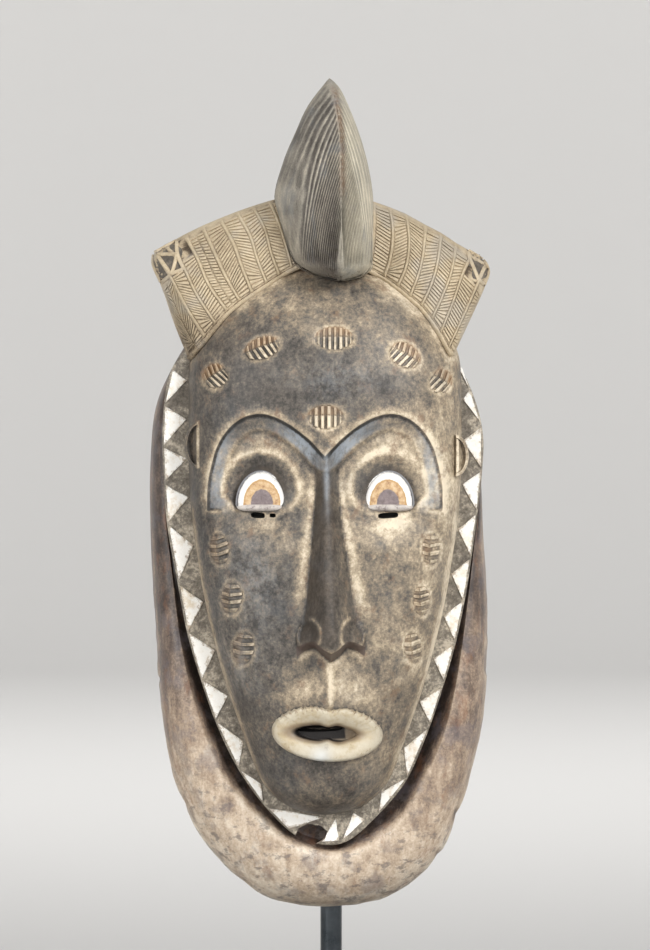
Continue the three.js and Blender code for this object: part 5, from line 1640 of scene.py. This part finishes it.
places = surface_places(mask)
x, h, d = places.T
behind_head = (1 - smooth(26, 38, d)) * smooth(268, 276, h)
fine, wide = hollowness(mask, places, 2), hollowness(mask, places, 14)
band = 0.04 + 0.85 * np.maximum(near(np.abs(x) - 11, 11), 0.7 * near(np.abs(x) - 50.5, 6))
under = np.where(nose_share(x, h) < 1.08, np.clip(nose_under(x, h), -3, 4), -3)
keep(mask, ["rear"], [behind_head])
fine = np.clip(fine, -0.5, 0.5) * (1 - behind_head)
keep(mask, ("hollow_fine", "hollow_wide"), (fine, np.clip(wide, -3, 3)))
keep(mask, ("dust", "soot", "bridge_highlight", "slate"), worn_places(places))
keep(mask, ("eye_share", "lip_share", "mouth_share"), paint_places(places))
keep(mask, ("brow", "brow_high"), (np.clip(brow_inside(x, h), -8, 14), smooth(186, 198, h)))
keep(mask, ("brow_band_sheen", "nose_under"), (band * smooth(188, 200, h), under))
keep(mask, ("mark", "mark_upper"), mark_places(places))
keep(mask, ("deep", "lip_middle"), (opening_shade_places(places), near(x + 2, 5) * near(h - 76, 6)))
keep(mask, ("seam", "polish"), crest_places(places))
keep(mask, ("right_tan_and_light", "hair_soot"), (smooth(4, 11, x), (1 - smooth(270, 292, h)) * (x < 0)))
keep(mask, ("collar_dust", "collar_soot_and_shade", "rubbed"), collar_places(places))
for make in (
    face_patina, plaited_hair, crest_wood, border_wood, tooth_chalk, collar_wood, back_wood, eye_paint,
    lip_paint, eyelid_paint, square_dark,
):
    make()
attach(mask, "root")
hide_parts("mask")
for node, make in (("stand_rod", rod_steel), ("stand_foot", foot_paint)):
    bpy.data.objects[node].data.materials.clear()
    bpy.data.objects[node].data.materials.append(make())

# Camera, floor and lights
REFERENCE_DEPTH = 45.0
CAMERA_DISTANCE = 2600.0
VIEW_HEIGHT, VIEW_MIDDLE = 456.0, 209.8
SENSOR_WIDTH = 36.0
FLOOR_RADIUS, FLOOR_SWEEP = 5.5, 3.0
STUDIO_GREY, STUDIO_GLOW = (0.9, 0.9, 0.9, 1), 0.25
WASH_HEIGHT, WASH_OUT, WASH_AIM = 4.0, 0.5, 5.0


def add_camera():
    """Camera straight in front, as far off as the photo's."""
    data = bpy.data.cameras.new("camera")
    data.lens = SENSOR_WIDTH * CAMERA_DISTANCE / VIEW_HEIGHT
    data.clip_end = 20
    camera = bpy.data.objects.new("camera", data)
    bpy.context.scene.collection.objects.link(camera)
    reference = placed([0, VIEW_MIDDLE, REFERENCE_DEPTH])
    camera.location = (reference[0], reference[1] - CAMERA_DISTANCE * MM, reference[2])
    camera.rotation_euler = (math.radians(90), 0, 0)
    bpy.context.scene.camera = camera


def add_floor():
    """Pale round floor whose far edge sweeps up on all sides."""
    bpy.ops.object.select_all(action="DESELECT")
    around = 72
    section = [(0, 0), (1.5, 0), (4, 0)]
    for turn in np.linspace(0, math.pi / 2, 17):
        section.append((FLOOR_RADIUS + FLOOR_SWEEP * math.sin(turn), FLOOR_SWEEP * (1 - math.cos(turn))))
    bpy.ops.mesh.primitive_grid_add(x_subdivisions=around, y_subdivisions=len(section) - 1, size=1)
    floor = bpy.context.object
    floor.name = "floor"
    angle = 2 * np.pi * np.arange(around + 1) / around
    points = [(radius * math.cos(a), radius * math.sin(a), up) for radius, up in section for a in angle]
    floor.data.vertices.foreach_set("co", np.array(points, np.float32).ravel())
    bpy.ops.object.mode_set(mode="EDIT")
    bpy.ops.mesh.select_all(action="SELECT")
    bpy.ops.mesh.remove_doubles(threshold=1e-4)
    bpy.ops.object.mode_set(mode="OBJECT")
    bpy.ops.object.shade_smooth_by_angle(angle=math.radians(40))
    f = Finish("pale_floor")
    f.put((0.64, 0.63, 0.615), f.shader.inputs["Base Color"])
    f.shader.inputs["Roughness"].default_value = 0.9
    floor.data.materials.append(f.material)


def add_light(name, place, size, energy, target=(0, -0.02, 0.3)):
    """Square soft light at a place, aimed at its target."""
    data = bpy.data.lights.new(name, "AREA")
    data.energy = energy
    data.size = size
    light = bpy.data.objects.new(name, data)
    light.location = place
    across, along, up = np.array(place) - np.array(target)
    tilt = math.atan2(math.hypot(across, along), up)
    light.rotation_euler = (tilt, 0, math.atan2(along, across) + math.pi / 2)
    bpy.context.scene.collection.objects.link(light)


add_camera()
add_floor()
add_light("key", (1.0, -1.6, 1.25), 0.7, 37)
add_light("fill", (-1.3, -1.5, 0.8), 0.9, 20)
add_light("top", (0, 0.2, 1.9), 1.2, 9)
for across, along in ((0, 1), (1, 0), (0, -1), (-1, 0)):
    place = (WASH_OUT * across, WASH_OUT * along, WASH_HEIGHT)
    add_light("wall_wash", place, 1.2, 430, (WASH_AIM * across, WASH_AIM * along, WASH_HEIGHT))
world = bpy.data.worlds.new("studio")
world.use_nodes = True
world.node_tree.nodes["Background"].inputs["Color"].default_value = STUDIO_GREY
world.node_tree.nodes["Background"].inputs["Strength"].default_value = STUDIO_GLOW
bpy.context.scene.world = world
bpy.context.scene.view_settings.view_transform = "Standard"
